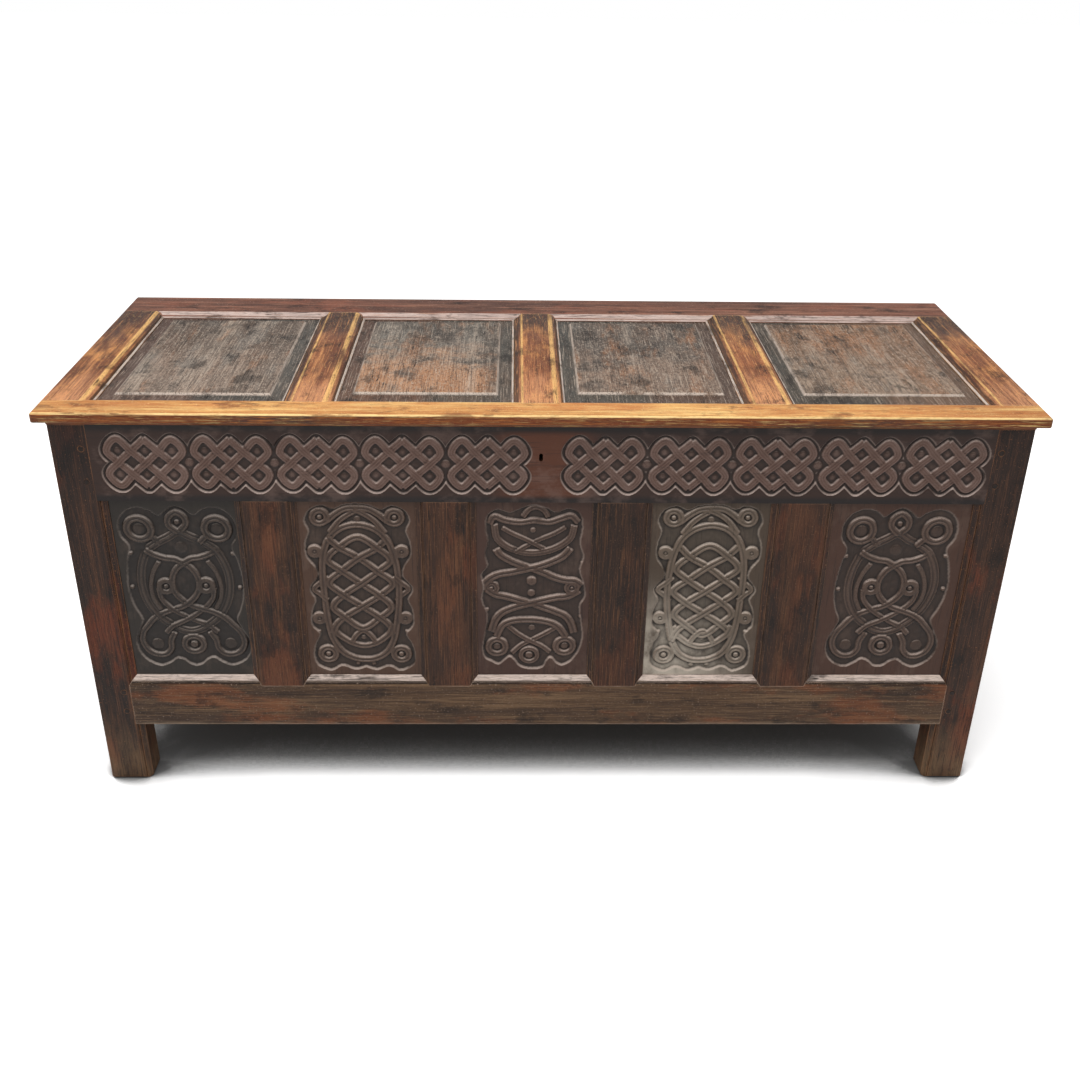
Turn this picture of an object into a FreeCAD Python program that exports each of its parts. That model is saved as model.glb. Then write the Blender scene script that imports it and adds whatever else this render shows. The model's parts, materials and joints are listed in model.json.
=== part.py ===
"""Joined oak coffer: a panelled case that stands on its stiles, with a framed and panelled lid.

Millimetres. The origin is on the floor under the middle of the lid. +X runs along the front,
+Y goes to the back and +Z is up. Every framed face is first made flat, with x along the face,
z up it and y inwards from its outer surface, and is then put in its place.
"""
import FreeCAD
import Part
import math
import os

from FreeCAD import Vector

# Case
CASE_WIDTH = 1560.0
CASE_DEPTH = 578.0
CASE_HEIGHT = 697.5
FOOT_HEIGHT = 122.0
FOOT_CHAMFER = 4.0
STILE_WIDTH = 72.0  # seen from the front and the back
STILE_DEPTH = 52.0  # seen from the ends
RAIL_THICKNESS = 27.0
BOTTOM_RAIL_HEIGHT = 101.0
FRONT_TOP_RAIL_HEIGHT = 132.5
PLAIN_TOP_RAIL_HEIGHT = 116.0
FRONT_MUNTIN_WIDTHS = (100.0, 100.0, 99.0, 105.0)
FRONT_PANEL_SHARES = (204.0, 193.0, 191.0, 195.0, 229.0)
END_MUNTIN_WIDTH = 84.0
END_PANEL_SHARES = (1.0, 1.0)
BACK_MUNTIN_WIDTH = 92.0
BACK_PANEL_SHARES = (1.0, 1.0, 1.0)

# Lid
LID_THICKNESS = 24.0
LID_REST_GAP = 0.5
LID_FRONT_OVERHANG = 14.0
LID_SIDE_OVERHANG = 20.0
LID_BACK_OVERHANG = 24.0
LID_FRONT_RAIL_WIDTH = 70.5
LID_BACK_RAIL_WIDTH = 110.5
LID_END_STILE_WIDTH = 80.5
LID_MUNTIN_WIDTH = 87.0
LID_PANEL_SHARES = (297.0, 282.0, 286.0, 313.0)
LID_EDGE_THICKNESS = 17.0  # of the part of the lid that overhangs the case
LID_BAND_SETBACK = 1.0  # of the thick part of the lid, outside the case's faces
LID_NOSING_RADIUS = 5.0
LID_UNDER_EDGE_RADIUS = 2.5
LID_CORNER_RADIUS = 5.0

# Mouldings, given as widths in the face and drops into it
PANEL_RECESS = 9.5
MOULDING_LIP = 1.5
FRONT_BEAD_DROP = 3.0
FRONT_SIDE_BEAD_WIDTH = 3.5
FRONT_SIDE_BEVEL_WIDTH = 9.3
FRONT_RAIL_BEAD_WIDTH = 6.5
FRONT_RAIL_BEVEL_WIDTH = 10.8
QUIRK_WIDTH = 1.2
QUIRK_DROP = 1.5
LID_OVOLO_WIDTH = 12.0
LID_OVOLO_DROP = 6.0
LID_OVOLO_SWELL = 1.5
LID_BEAD_WIDTH = 3.3
PLAIN_CHAMFER = 6.0

# Panels in their grooves
GROOVE_DEPTH = 10.0
PANEL_EDGE_THICKNESS = 6.0
PANEL_EDGE_PLAY = 1.0  # between a panel's edge and the bottom of its groove
PANEL_FACE_PLAY = 0.5  # behind a panel's edge, across the groove
CASE_PANEL_SWELL = 6.0  # how much thicker a case panel is behind its feathered border
CASE_PANEL_FEATHER = 28.0
LID_FIELD_RISE = 5.0
LID_FIELD_BEVEL = 4.5
LID_FIELD_MARGIN = 25.0
LID_FIELD_FRONT_MARGINS = (34.0, 42.0, 47.0, 47.0)

# Mortise and tenon joints
TENON_THICKNESS = 9.0
LID_TENON_THICKNESS = 6.5
TENON_SHOULDER = 2.0  # between a tenon and the panel groove
RAIL_TENON_LENGTH = 45.0
END_RAIL_TENON_LENGTH = 30.0
MUNTIN_TENON_LENGTH = 30.0
LID_TENON_LENGTH = 40.0
LID_END_TENON_INSET = 25.0
RAIL_EDGE_SHOULDER = 16.0  # between a rail's outer edge and its tenon
MORTISE_PLAY = 0.2
MORTISE_END_PLAY = 1.0

# Oak pegs through the tenons
PEG_RADIUS = 4.5
PEG_LENGTH = 32.0
PEG_PROUD = 0.6
PEG_PLAY = 0.05
FRONT_PEG_SETBACK = 25.5  # from the shoulder of a rail's joint to the pegs
END_PEG_SETBACK = 14.0
PEG_FROM_RAIL_EDGE = 41.5
PEG_PITCH = 58.0
BOTTOM_PEG_FROM_RAIL_EDGE = 28.0
BOTTOM_PEG_PITCH = 40.0

# Floor
FLOOR_BOARD_COUNT = 7
FLOOR_THICKNESS = 12.0
FLOOR_ABOVE_RAIL_EDGE = 24.0
FLOOR_GROOVE_DEPTH = 10.0
FLOOR_PLAY = 0.5

# Strap hinges
PIVOT_BEHIND_BACK = 6.0
PIVOT_UNDER_LID = 6.0
KNUCKLE_RADIUS = 5.4
KNUCKLE_LENGTH = 14.0
KNUCKLE_GAP = 0.5
HINGE_PIN_RADIUS = 2.6
HINGE_PIN_PLAY = 0.05
HINGE_PIN_HEAD_RADIUS = 4.2
HINGE_PIN_HEAD_THICKNESS = 2.0
STRAP_THICKNESS = 3.0
STRAP_LENGTH = 330.0
STRAP_POINT_LENGTH = 40.0
STRAP_SIDE_GAP = 1.0  # between a strap and the sides of its housing in the back rail
STRAP_HOUSING_GAP = 0.6
TAIL_THICKNESS = 2.5
TAIL_HEIGHT = 96.0
TAIL_FLARE = 8.0

# Lock
KEYHOLE_X = -6.0
KEYHOLE_UNDER_TOP = 52.5  # from the case's top down to the middle of the keyhole
KEYHOLE_WIDTH = 6.0
KEYHOLE_LENGTH = 14.0
LOCK_PLATE_WIDTH = 136.0
LOCK_PLATE_HEIGHT = 100.0
LOCK_PLATE_THICKNESS = 2.5
LOCK_PLATE_OVER_KEYHOLE = 44.5
LOCK_CASE_WIDTH = 96.0
LOCK_CASE_HEIGHT = 78.0
LOCK_CASE_DEPTH = 23.0
LOCK_CASE_WALL = 2.0
LOCK_CASE_OVER_KEYHOLE = 40.5
STAPLE_FROM_KEYHOLE = 22.0
STAPLE_BAR = 4.0
STAPLE_WIDTH = 5.0
STAPLE_EYE = 8.4
STAPLE_BOLT_PLAY = 1.0  # under the bolt, in the staple's eye
STAPLE_PLATE_LENGTH = 54.0
STAPLE_PLATE_WIDTH = 24.0
STAPLE_PLATE_THICKNESS = 2.0
STAPLE_SIDE_GAP = 2.6
BOLT_HEIGHT = 8.0
BOLT_THICKNESS = 6.0
BOLT_LENGTH = 52.0
BOLT_OVER_KEYHOLE = 16.0
BOLT_GAP = 2.0  # between the drawn bolt's tip and the staple
BOLT_TALON_WIDTH = 8.0
BOLT_TALON_DEPTH = 3.0
GUIDE_WIDTH = 7.0
GUIDE_BAR = 2.5
GUIDE_PLAY = 0.35
GUIDE_FROM_BOLT_END = 3.0
KEY_PIN_RADIUS = 2.0
KEY_PIN_LENGTH = 15.0

# Nails
NAIL_RADIUS = 1.6
NAIL_PLAY = 0.05
NAIL_LENGTH = 9.0  # in the wood
NAIL_HEAD_RADIUS = 5.0
NAIL_HEAD_TIP_RADIUS = 2.0
STAPLE_NAIL_LENGTH = 4.5  # in the wood
NAIL_HEAD_RISE = 2.2
NAIL_INSET = 9.0  # from the edges of the lock plate and the staple's plate
STRAP_NAIL_PITCH = 62.0
STRAP_NAIL_START = 40.0
LOCK_NAIL_INSET = 8.0

# How far a cut runs past the faces that it opens, and what counts as the same point
CUT_OVERRUN = 1.0
SAME_POINT = 1e-6

# Places that follow from the sizes above
LID_BOTTOM = CASE_HEIGHT + LID_REST_GAP
LID_TOP = LID_BOTTOM + LID_THICKNESS
LID_LENGTH = CASE_WIDTH + 2.0 * LID_SIDE_OVERHANG
LID_DEPTH = CASE_DEPTH + LID_FRONT_OVERHANG + LID_BACK_OVERHANG
LID_FRONT = -LID_DEPTH / 2.0
CASE_FRONT = LID_FRONT + LID_FRONT_OVERHANG
CASE_BACK = CASE_FRONT + CASE_DEPTH
CASE_MIDDLE = (CASE_FRONT + CASE_BACK) / 2.0
CASE_END = CASE_WIDTH / 2.0
SIGHT_BOTTOM = FOOT_HEIGHT + BOTTOM_RAIL_HEIGHT
TENON_FRONT = PANEL_RECESS
PIVOT_Y = CASE_BACK + PIVOT_BEHIND_BACK
PIVOT_Z = LID_BOTTOM - PIVOT_UNDER_LID
HINGE_WIDTH = 3.0 * KNUCKLE_LENGTH + 2.0 * KNUCKLE_GAP
FLOOR_BOTTOM = FOOT_HEIGHT + FLOOR_ABOVE_RAIL_EDGE
KEYHOLE_HEIGHT = CASE_HEIGHT - KEYHOLE_UNDER_TOP
LOCK_PLATE_TOP = KEYHOLE_HEIGHT + LOCK_PLATE_OVER_KEYHOLE
LOCK_CASE_TOP = KEYHOLE_HEIGHT + LOCK_CASE_OVER_KEYHOLE
STAPLE_X = KEYHOLE_X + STAPLE_FROM_KEYHOLE
STAPLE_DEPTH = STAPLE_EYE + 2.0 * STAPLE_BAR
PLATE_INNER_FACE = CASE_FRONT + RAIL_THICKNESS + LOCK_PLATE_THICKNESS
STAPLE_Y = PLATE_INNER_FACE + STAPLE_SIDE_GAP + STAPLE_DEPTH / 2.0
BOLT_BOTTOM = KEYHOLE_HEIGHT + BOLT_OVER_KEYHOLE
STAPLE_BOTTOM = BOLT_BOTTOM - STAPLE_BOLT_PLAY - STAPLE_BAR
BOLT_TIP = STAPLE_X - STAPLE_WIDTH / 2.0 - BOLT_GAP

NODES = {}


def box(x0, x1, y0, y1, z0, z1):
    return Part.makeBox(x1 - x0, y1 - y0, z1 - z0, Vector(x0, y0, z0))


def cylinder(radius, length, start, direction):
    return Part.makeCylinder(radius, length, start, direction)


def prism(outline, y0, y1):
    """Solid between two depths, from an outline of (x, z) points without repeats."""
    points = []
    for x, z in outline:
        point = Vector(x, y0, z)
        if not points or (point - points[-1]).Length > SAME_POINT:
            points.append(point)
    wire = Part.makePolygon(points + [points[0]])
    return Part.Face(wire).extrude(Vector(0, y1 - y0, 0))


def frustum(x0, x1, z0, z1, y0, inset_x, inset_low, inset_high, y1):
    """Solid from a rectangle at depth y0 to the same rectangle drawn in at depth y1."""
    near = [(x0, z0), (x1, z0), (x1, z1), (x0, z1)]
    far_x0 = x0 + inset_x
    far_x1 = x1 - inset_x
    far_z0 = z0 + inset_low
    far_z1 = z1 - inset_high
    far = [(far_x0, far_z0), (far_x1, far_z0), (far_x1, far_z1), (far_x0, far_z1)]
    wires = []
    for corners, y in ((near, y0), (far, y1)):
        points = [Vector(x, y, z) for x, z in corners]
        wires.append(Part.makePolygon(points + [points[0]]))
    return Part.makeLoft(wires, True, True)


def joined(first, *others):
    """One solid from pieces that meet or overlap."""
    return first.fuse(list(others)).removeSplitter()


def turned(shape, axis, angle, offset):
    moved = shape.copy()
    moved.rotate(Vector(0, 0, 0), axis, angle)
    moved.translate(offset)
    return moved


def at_front(shape):
    return turned(shape, Vector(0, 0, 1), 0, Vector(0, CASE_FRONT, 0))


def at_back(shape):
    return turned(shape, Vector(0, 0, 1), 180, Vector(0, CASE_BACK, 0))


def at_left(shape):
    return turned(shape, Vector(0, 0, 1), -90, Vector(-CASE_END, CASE_MIDDLE, 0))


def at_right(shape):
    return turned(shape, Vector(0, 0, 1), 90, Vector(CASE_END, CASE_MIDDLE, 0))


def at_lid(shape):
    """Lays a face down as the lid: z up the face becomes +Y, and inwards becomes down."""
    return turned(shape, Vector(1, 0, 0), -90, Vector(0, LID_FRONT, LID_TOP))


class Moulding:
    """Section of the moulding round an opening, as (offset from the sight line, drop, swell).

    The section runs from the face of the frame in to the lip that the panel lies behind.
    """

    def __init__(self, outer_width, outer_drop, inner_width, swell=0.0):
        inner_start = inner_width
        quirk_start = inner_width + QUIRK_WIDTH
        self.reach = quirk_start + outer_width
        self.inner = inner_start
        self.section = [
            (self.reach, 0.0, 0.0),
            (quirk_start, outer_drop, swell),
            (quirk_start, outer_drop + QUIRK_DROP, 0.0),
            (inner_start, outer_drop + QUIRK_DROP, 0.0),
            (inner_start, outer_drop, 0.0),
            (0.0, PANEL_RECESS - MOULDING_LIP, 0.0),
        ]


class Chamfer:
    """Section of a plain chamfer round an opening. The members meet at the sight line."""

    def __init__(self, width):
        self.reach = 0.0
        self.inner = 0.0
        self.section = [(width, 0.0, 0.0), (0.0, width, 0.0)]


class Square:
    """An edge with no moulding."""

    reach = 0.0
    inner = 0.0
    section = [(0.0, 0.0, 0.0)]


class Frame:
    """The row of openings of one framed face, and the mouldings round them."""

    def __init__(self, half_width, low, high, muntins, shares, side, bottom, top):
        self.low = low
        self.high = high
        self.side = side
        self.bottom = bottom
        self.top = top
        self.openings = []
        free = 2.0 * half_width - sum(muntins)
        x = -half_width
        for share, muntin in zip(shares, tuple(muntins) + (0.0,)):
            width = free * share / sum(shares)
            self.openings.append((x, x + width))
            x += width + muntin

    def seam(self, at_top):
        """Points of the joint line along the lower or the upper rail, from left to right.

        It is mitred through the mouldings at the corners of every opening.
        """
        edge = self.top if at_top else self.bottom
        sight = self.high if at_top else self.low
        outwards = 1.0 if at_top else -1.0
        points = []
        for x0, x1 in self.openings:
            points.append((x0 - self.side.reach, sight + outwards * edge.reach))
            points.append((x0 - self.side.inner, sight + outwards * edge.inner))
            points.append((x0, sight))
            points.append((x1, sight))
            points.append((x1 + self.side.inner, sight + outwards * edge.inner))
            points.append((x1 + self.side.reach, sight + outwards * edge.reach))
        return points

    def muntin_outline(self, i):
        """Outline of the moulded face of the muntin after opening i."""
        low = self.seam(False)
        high = self.seam(True)
        first = 6 * i + 3
        return low[first:first + 6] + high[first:first + 6][::-1]

    def muntin_sight(self, i):
        return self.openings[i][1], self.openings[i + 1][0]

    def cutters(self):
        """Solids that cut the mouldings and the panel grooves of every opening."""
        solids = []
        groove_end = PANEL_RECESS + PANEL_EDGE_THICKNESS + PANEL_FACE_PLAY
        for x0, x1 in self.openings:
            solids.append(self.moulding_cutter(x0, x1))
            groove = box(
                x0 - GROOVE_DEPTH, x1 + GROOVE_DEPTH, PANEL_RECESS, groove_end,
                self.low - GROOVE_DEPTH, self.high + GROOVE_DEPTH,
            )
            solids.append(groove)
        return solids

    def moulding_cutter(self, x0, x1):
        """The mouldings of one opening, mitred at the corners: two long cuts in common."""
        margin = self.side.reach + self.bottom.reach + self.top.reach + GROOVE_DEPTH
        upright = cut_section(x0, x1, self.side, self.side, False)
        upright = upright.extrude(Vector(0, 0, self.high - self.low + 2.0 * margin))
        upright.translate(Vector(0, 0, self.low - margin))
        level = cut_section(self.low, self.high, self.bottom, self.top, True)
        level = level.extrude(Vector(x1 - x0 + 2.0 * margin, 0, 0))
        level.translate(Vector(x0 - margin, 0, 0))
        return upright.common(level)


def cut_section(start, end, start_moulding, end_moulding, along_z):
    """Face across an opening that is bounded by the mouldings' sections on its two sides."""
    section = [(start - o, d, s) for o, d, s in start_moulding.section]
    section += [(start, PANEL_RECESS, 0.0), (end, PANEL_RECESS, 0.0)]
    mirrored = end_moulding.section[::-1]
    swells = [0.0] + [s for o, d, s in mirrored[:-1]]
    section += [(end + o, d, s) for (o, d, _), s in zip(mirrored, swells)]
    section.append((section[-1][0], -CUT_OVERRUN, 0.0))
    section.insert(0, (section[0][0], -CUT_OVERRUN, 0.0))
    edges = []
    for (a, depth_a, _), (b, depth_b, swell) in zip(section, section[1:] + section[:1]):
        first = section_point(a, depth_a, along_z)
        last = section_point(b, depth_b, along_z)
        if (last - first).Length < SAME_POINT:
            continue
        if swell:
            edges.append(swelled_arc(a, depth_a, b, depth_b, swell, along_z))
        else:
            edges.append(Part.LineSegment(first, last).toShape())
    return Part.Face(Part.Wire(edges))


def section_point(along, depth, along_z):
    return Vector(0, depth, along) if along_z else Vector(along, depth, 0)


def swelled_arc(a, depth_a, b, depth_b, swell, along_z):
    """Arc that stands out of the wood by the swell, at the middle of its chord."""
    chord = math.hypot(b - a, depth_b - depth_a)
    run = (b - a) / chord
    fall = (depth_b - depth_a) / chord
    outwards = 1.0 if (depth_b - depth_a) * (b - a) > 0 else -1.0
    middle_along = (a + b) / 2.0 + outwards * swell * fall
    middle_depth = (depth_a + depth_b) / 2.0 - outwards * swell * run
    first = section_point(a, depth_a, along_z)
    middle = section_point(middle_along, middle_depth, along_z)
    last = section_point(b, depth_b, along_z)
    return Part.Arc(first, middle, last).toShape()


FRONT_SIDE_MOULDING = Moulding(FRONT_SIDE_BEAD_WIDTH, FRONT_BEAD_DROP, FRONT_SIDE_BEVEL_WIDTH)
FRONT_RAIL_MOULDING = Moulding(FRONT_RAIL_BEAD_WIDTH, FRONT_BEAD_DROP, FRONT_RAIL_BEVEL_WIDTH)
LID_MOULDING = Moulding(LID_OVOLO_WIDTH, LID_OVOLO_DROP, LID_BEAD_WIDTH, LID_OVOLO_SWELL)

FRONT = Frame(
    CASE_END - STILE_WIDTH, SIGHT_BOTTOM, CASE_HEIGHT - FRONT_TOP_RAIL_HEIGHT,
    FRONT_MUNTIN_WIDTHS, FRONT_PANEL_SHARES,
    FRONT_SIDE_MOULDING, FRONT_RAIL_MOULDING, Square(),
)
BACK = Frame(
    CASE_END - STILE_WIDTH, SIGHT_BOTTOM, CASE_HEIGHT - PLAIN_TOP_RAIL_HEIGHT,
    (BACK_MUNTIN_WIDTH,) * (len(BACK_PANEL_SHARES) - 1), BACK_PANEL_SHARES,
    Chamfer(PLAIN_CHAMFER), Chamfer(PLAIN_CHAMFER), Square(),
)
END = Frame(
    CASE_DEPTH / 2.0 - STILE_DEPTH, SIGHT_BOTTOM, CASE_HEIGHT - PLAIN_TOP_RAIL_HEIGHT,
    (END_MUNTIN_WIDTH,) * (len(END_PANEL_SHARES) - 1), END_PANEL_SHARES,
    Chamfer(PLAIN_CHAMFER), Chamfer(PLAIN_CHAMFER), Square(),
)
LID = Frame(
    LID_LENGTH / 2.0 - LID_END_STILE_WIDTH, LID_FRONT_RAIL_WIDTH, LID_DEPTH - LID_BACK_RAIL_WIDTH,
    (LID_MUNTIN_WIDTH,) * (len(LID_PANEL_SHARES) - 1), LID_PANEL_SHARES,
    LID_MOULDING, LID_MOULDING, LID_MOULDING,
)


def rail_faces(frame):
    """Outlines of the lower and the upper rail's outer layer, which meets the mouldings."""
    low = frame.seam(False)
    high = frame.seam(True)
    lower = [(low[0][0], FOOT_HEIGHT)] + low + [(low[-1][0], FOOT_HEIGHT)]
    upper = [(high[0][0], CASE_HEIGHT)] + high + [(high[-1][0], CASE_HEIGHT)]
    return prism(lower, 0.0, PANEL_RECESS), prism(upper, 0.0, PANEL_RECESS)


def tenon(x0, x1, z0, z1, thickness=TENON_THICKNESS):
    return box(x0, x1, TENON_FRONT, TENON_FRONT + thickness, z0, z1)


def mortise(x0, x1, z0, z1, thickness=TENON_THICKNESS):
    """Hole for the same tenon, with its play."""
    front = TENON_FRONT - MORTISE_PLAY
    back = TENON_FRONT + thickness + MORTISE_PLAY
    return box(x0, x1, front, back, z0, z1)


def rail_tenon_heights(frame, upper):
    clear = GROOVE_DEPTH + TENON_SHOULDER
    if upper:
        return frame.high + clear, CASE_HEIGHT - RAIL_EDGE_SHOULDER
    return FOOT_HEIGHT + RAIL_EDGE_SHOULDER, frame.low - clear


def peg_heights(upper):
    if upper:
        first = CASE_HEIGHT - PEG_FROM_RAIL_EDGE
        return first, first - PEG_PITCH
    first = FOOT_HEIGHT + BOTTOM_PEG_FROM_RAIL_EDGE
    return first, first + BOTTOM_PEG_PITCH


def pegs(frame, setback, radius, start):
    """Pegs, or the holes for them, through both ends of both rails of a frame."""
    left = frame.openings[0][0] - setback
    right = frame.openings[-1][1] + setback
    solids = []
    for upper in (False, True):
        for z in peg_heights(upper):
            for x in (left, right):
                solids.append(cylinder(radius, PEG_LENGTH - start, Vector(x, start, z), Vector(0, 1, 0)))
    return solids


def peg_holes(frame, setback):
    return pegs(frame, setback, PEG_RADIUS + PEG_PLAY, -CUT_OVERRUN)


def floor_space(play):
    """The slot that the floor boards lie in, between the grooves of the four bottom rails."""
    reach = RAIL_THICKNESS - FLOOR_GROOVE_DEPTH - play
    return box(
        -CASE_END + reach, CASE_END - reach, CASE_FRONT + reach, CASE_BACK - reach,
        FLOOR_BOTTOM - play, FLOOR_BOTTOM + FLOOR_THICKNESS + play,
    )


def case_rail(frame, upper, tenon_length, peg_setback):
    """One rail of a case frame, with its tenons, in the flat."""
    start = frame.openings[0][0]
    end = frame.openings[-1][1]
    bottom = frame.high if upper else FOOT_HEIGHT
    top = CASE_HEIGHT if upper else frame.low
    face = rail_faces(frame)[1 if upper else 0]
    body = box(start, end, PANEL_RECESS, RAIL_THICKNESS, bottom, top)
    tenon_bottom, tenon_top = rail_tenon_heights(frame, upper)
    left = tenon(start - tenon_length, start, tenon_bottom, tenon_top)
    right = tenon(end, end + tenon_length, tenon_bottom, tenon_top)
    rail = joined(body, face, left, right)
    mortises = [muntin_mortise(frame, i, upper) for i in range(len(frame.openings) - 1)]
    return rail.cut(frame.cutters() + mortises + peg_holes(frame, peg_setback))


def muntin_tenon_span(frame, i):
    clear = GROOVE_DEPTH + TENON_SHOULDER
    x0, x1 = frame.muntin_sight(i)
    return x0 + clear, x1 - clear


def muntin_mortise(frame, i, upper):
    x0, x1 = muntin_tenon_span(frame, i)
    depth = MUNTIN_TENON_LENGTH + MORTISE_END_PLAY
    z0, z1 = (frame.high, frame.high + depth) if upper else (frame.low - depth, frame.low)
    return mortise(x0 - MORTISE_PLAY, x1 + MORTISE_PLAY, z0, z1)


def case_muntin(frame, i):
    """Upright between two panels, tenoned into both rails, in the flat."""
    x0, x1 = frame.muntin_sight(i)
    face = prism(frame.muntin_outline(i), 0.0, PANEL_RECESS)
    body = box(x0, x1, PANEL_RECESS, RAIL_THICKNESS, frame.low, frame.high)
    tenon_x0, tenon_x1 = muntin_tenon_span(frame, i)
    ends = tenon(tenon_x0, tenon_x1, frame.low - MUNTIN_TENON_LENGTH, frame.high + MUNTIN_TENON_LENGTH)
    return joined(body, face, ends).cut(frame.cutters())


def case_panel(frame, i):
    """Board with its edges in the grooves, feathered at the back, in the flat."""
    reach = GROOVE_DEPTH - PANEL_EDGE_PLAY
    x0 = frame.openings[i][0] - reach
    x1 = frame.openings[i][1] + reach
    z0 = frame.low - reach
    z1 = frame.high + reach
    edge_back = PANEL_RECESS + PANEL_EDGE_THICKNESS
    edge = box(x0, x1, PANEL_RECESS, edge_back, z0, z1)
    swell_back = edge_back + CASE_PANEL_SWELL
    swell = frustum(
        x0 + reach, x1 - reach, z0 + reach, z1 - reach, edge_back,
        CASE_PANEL_FEATHER, CASE_PANEL_FEATHER, CASE_PANEL_FEATHER, swell_back,
    )
    return joined(edge, swell)


def lid_panel(i):
    """Board with a raised field on its upper face, in the flat."""
    reach = GROOVE_DEPTH - PANEL_EDGE_PLAY
    sight_x0, sight_x1 = LID.openings[i]
    edge = box(
        sight_x0 - reach, sight_x1 + reach, PANEL_RECESS, PANEL_RECESS + PANEL_EDGE_THICKNESS,
        LID.low - reach, LID.high + reach,
    )
    foot = LID_FIELD_MARGIN - LID_FIELD_BEVEL
    front_foot = LID_FIELD_FRONT_MARGINS[i] - LID_FIELD_BEVEL
    field = frustum(
        sight_x0 + foot, sight_x1 - foot, LID.low + front_foot, LID.high - foot, PANEL_RECESS,
        LID_FIELD_BEVEL, LID_FIELD_BEVEL, LID_FIELD_BEVEL, PANEL_RECESS - LID_FIELD_RISE,
    )
    return joined(edge, field)


def stile_run():
    """The front moulding carried down the stiles' inner arrises, past the bottom rail."""
    section = cut_section(FRONT.openings[0][0], FRONT.openings[-1][1], FRONT.side, FRONT.side, False)
    return section.extrude(Vector(0, 0, FRONT.low))


def case_stile(at_face, frame_cuts, end_cuts, x_side, y_side):
    """Corner post that two frames are tenoned into, and that reaches the floor as a foot."""
    x0, x1 = sorted((x_side * CASE_END, x_side * (CASE_END - STILE_WIDTH)))
    face_y = CASE_FRONT if y_side < 0 else CASE_BACK
    y0, y1 = sorted((face_y, face_y - y_side * STILE_DEPTH))
    post = box(x0, x1, y0, y1, 0.0, CASE_HEIGHT)
    foot_edges = [e for e in post.Edges if e.BoundBox.ZMax < SAME_POINT]
    post = post.makeChamfer(FOOT_CHAMFER, foot_edges)
    at_end = at_left if x_side < 0 else at_right
    cuts = [at_face(c) for c in frame_cuts] + [at_end(c) for c in end_cuts]
    return post.cut(cuts)


def stile_cuts(frame, tenon_length, peg_setback):
    """What a frame takes out of the stiles at its two ends."""
    start = frame.openings[0][0]
    end = frame.openings[-1][1]
    depth = tenon_length + MORTISE_END_PLAY
    cuts = frame.cutters() + list(rail_faces(frame)) + peg_holes(frame, peg_setback)
    for upper in (False, True):
        z0, z1 = rail_tenon_heights(frame, upper)
        z0 -= MORTISE_PLAY
        z1 += MORTISE_PLAY
        cuts.append(mortise(start - depth, start, z0, z1))
        cuts.append(mortise(end, end + depth, z0, z1))
    return cuts


def lid_envelope():
    """The lid's outside: a rounded edge that overhangs, and a thicker middle over the case."""
    half = LID_LENGTH / 2.0
    under = LID_TOP - LID_EDGE_THICKNESS
    slab = box(-half, half, LID_FRONT, LID_FRONT + LID_DEPTH, under, LID_TOP)
    corners = [e for e in slab.Edges if e.BoundBox.ZLength > SAME_POINT]
    slab = slab.makeFillet(LID_CORNER_RADIUS, corners)
    top_edges = [e for e in slab.Edges if e.BoundBox.ZMin > LID_TOP - SAME_POINT]
    slab = slab.makeFillet(LID_NOSING_RADIUS, top_edges)
    under_edges = [e for e in slab.Edges if e.BoundBox.ZMax < under + SAME_POINT]
    slab = slab.makeFillet(LID_UNDER_EDGE_RADIUS, under_edges)
    middle = box(
        -CASE_END - LID_BAND_SETBACK, CASE_END + LID_BAND_SETBACK,
        CASE_FRONT - LID_BAND_SETBACK, CASE_BACK + LID_BAND_SETBACK,
        LID_BOTTOM, under + LID_UNDER_EDGE_RADIUS + CUT_OVERRUN,
    )
    return joined(slab, middle)


def lid_tenon_span(i):
    """x from and to of the tenons at the ends of cross member i, counted from the left."""
    clear = GROOVE_DEPTH + TENON_SHOULDER
    last = len(LID.openings)
    left = -LID_LENGTH / 2.0 + LID_END_TENON_INSET if i == 0 else LID.openings[i - 1][1] + clear
    right = LID_LENGTH / 2.0 - LID_END_TENON_INSET if i == last else LID.openings[i][0] - clear
    return left, right


def lid_rail(at_back_edge, envelope):
    """Front or back rail of the lid, which runs its whole length."""
    half = LID_LENGTH / 2.0
    edge = LID_DEPTH if at_back_edge else 0.0
    seam = LID.seam(at_back_edge)
    outline = [(-half, edge), (-half, seam[0][1])] + seam + [(half, seam[-1][1]), (half, edge)]
    face = prism(outline, 0.0, PANEL_RECESS)
    sight = LID.high if at_back_edge else LID.low
    z0, z1 = sorted((edge, sight))
    body = box(-half, half, PANEL_RECESS, LID_THICKNESS, z0, z1)
    depth = LID_TENON_LENGTH + MORTISE_END_PLAY
    m0, m1 = (sight, sight + depth) if at_back_edge else (sight - depth, sight)
    cuts = LID.cutters()
    for i in range(len(LID.openings) + 1):
        x0, x1 = lid_tenon_span(i)
        cuts.append(mortise(x0 - MORTISE_PLAY, x1 + MORTISE_PLAY, m0, m1, LID_TENON_THICKNESS))
    return at_lid(joined(body, face).cut(cuts)).common(envelope)


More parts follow.
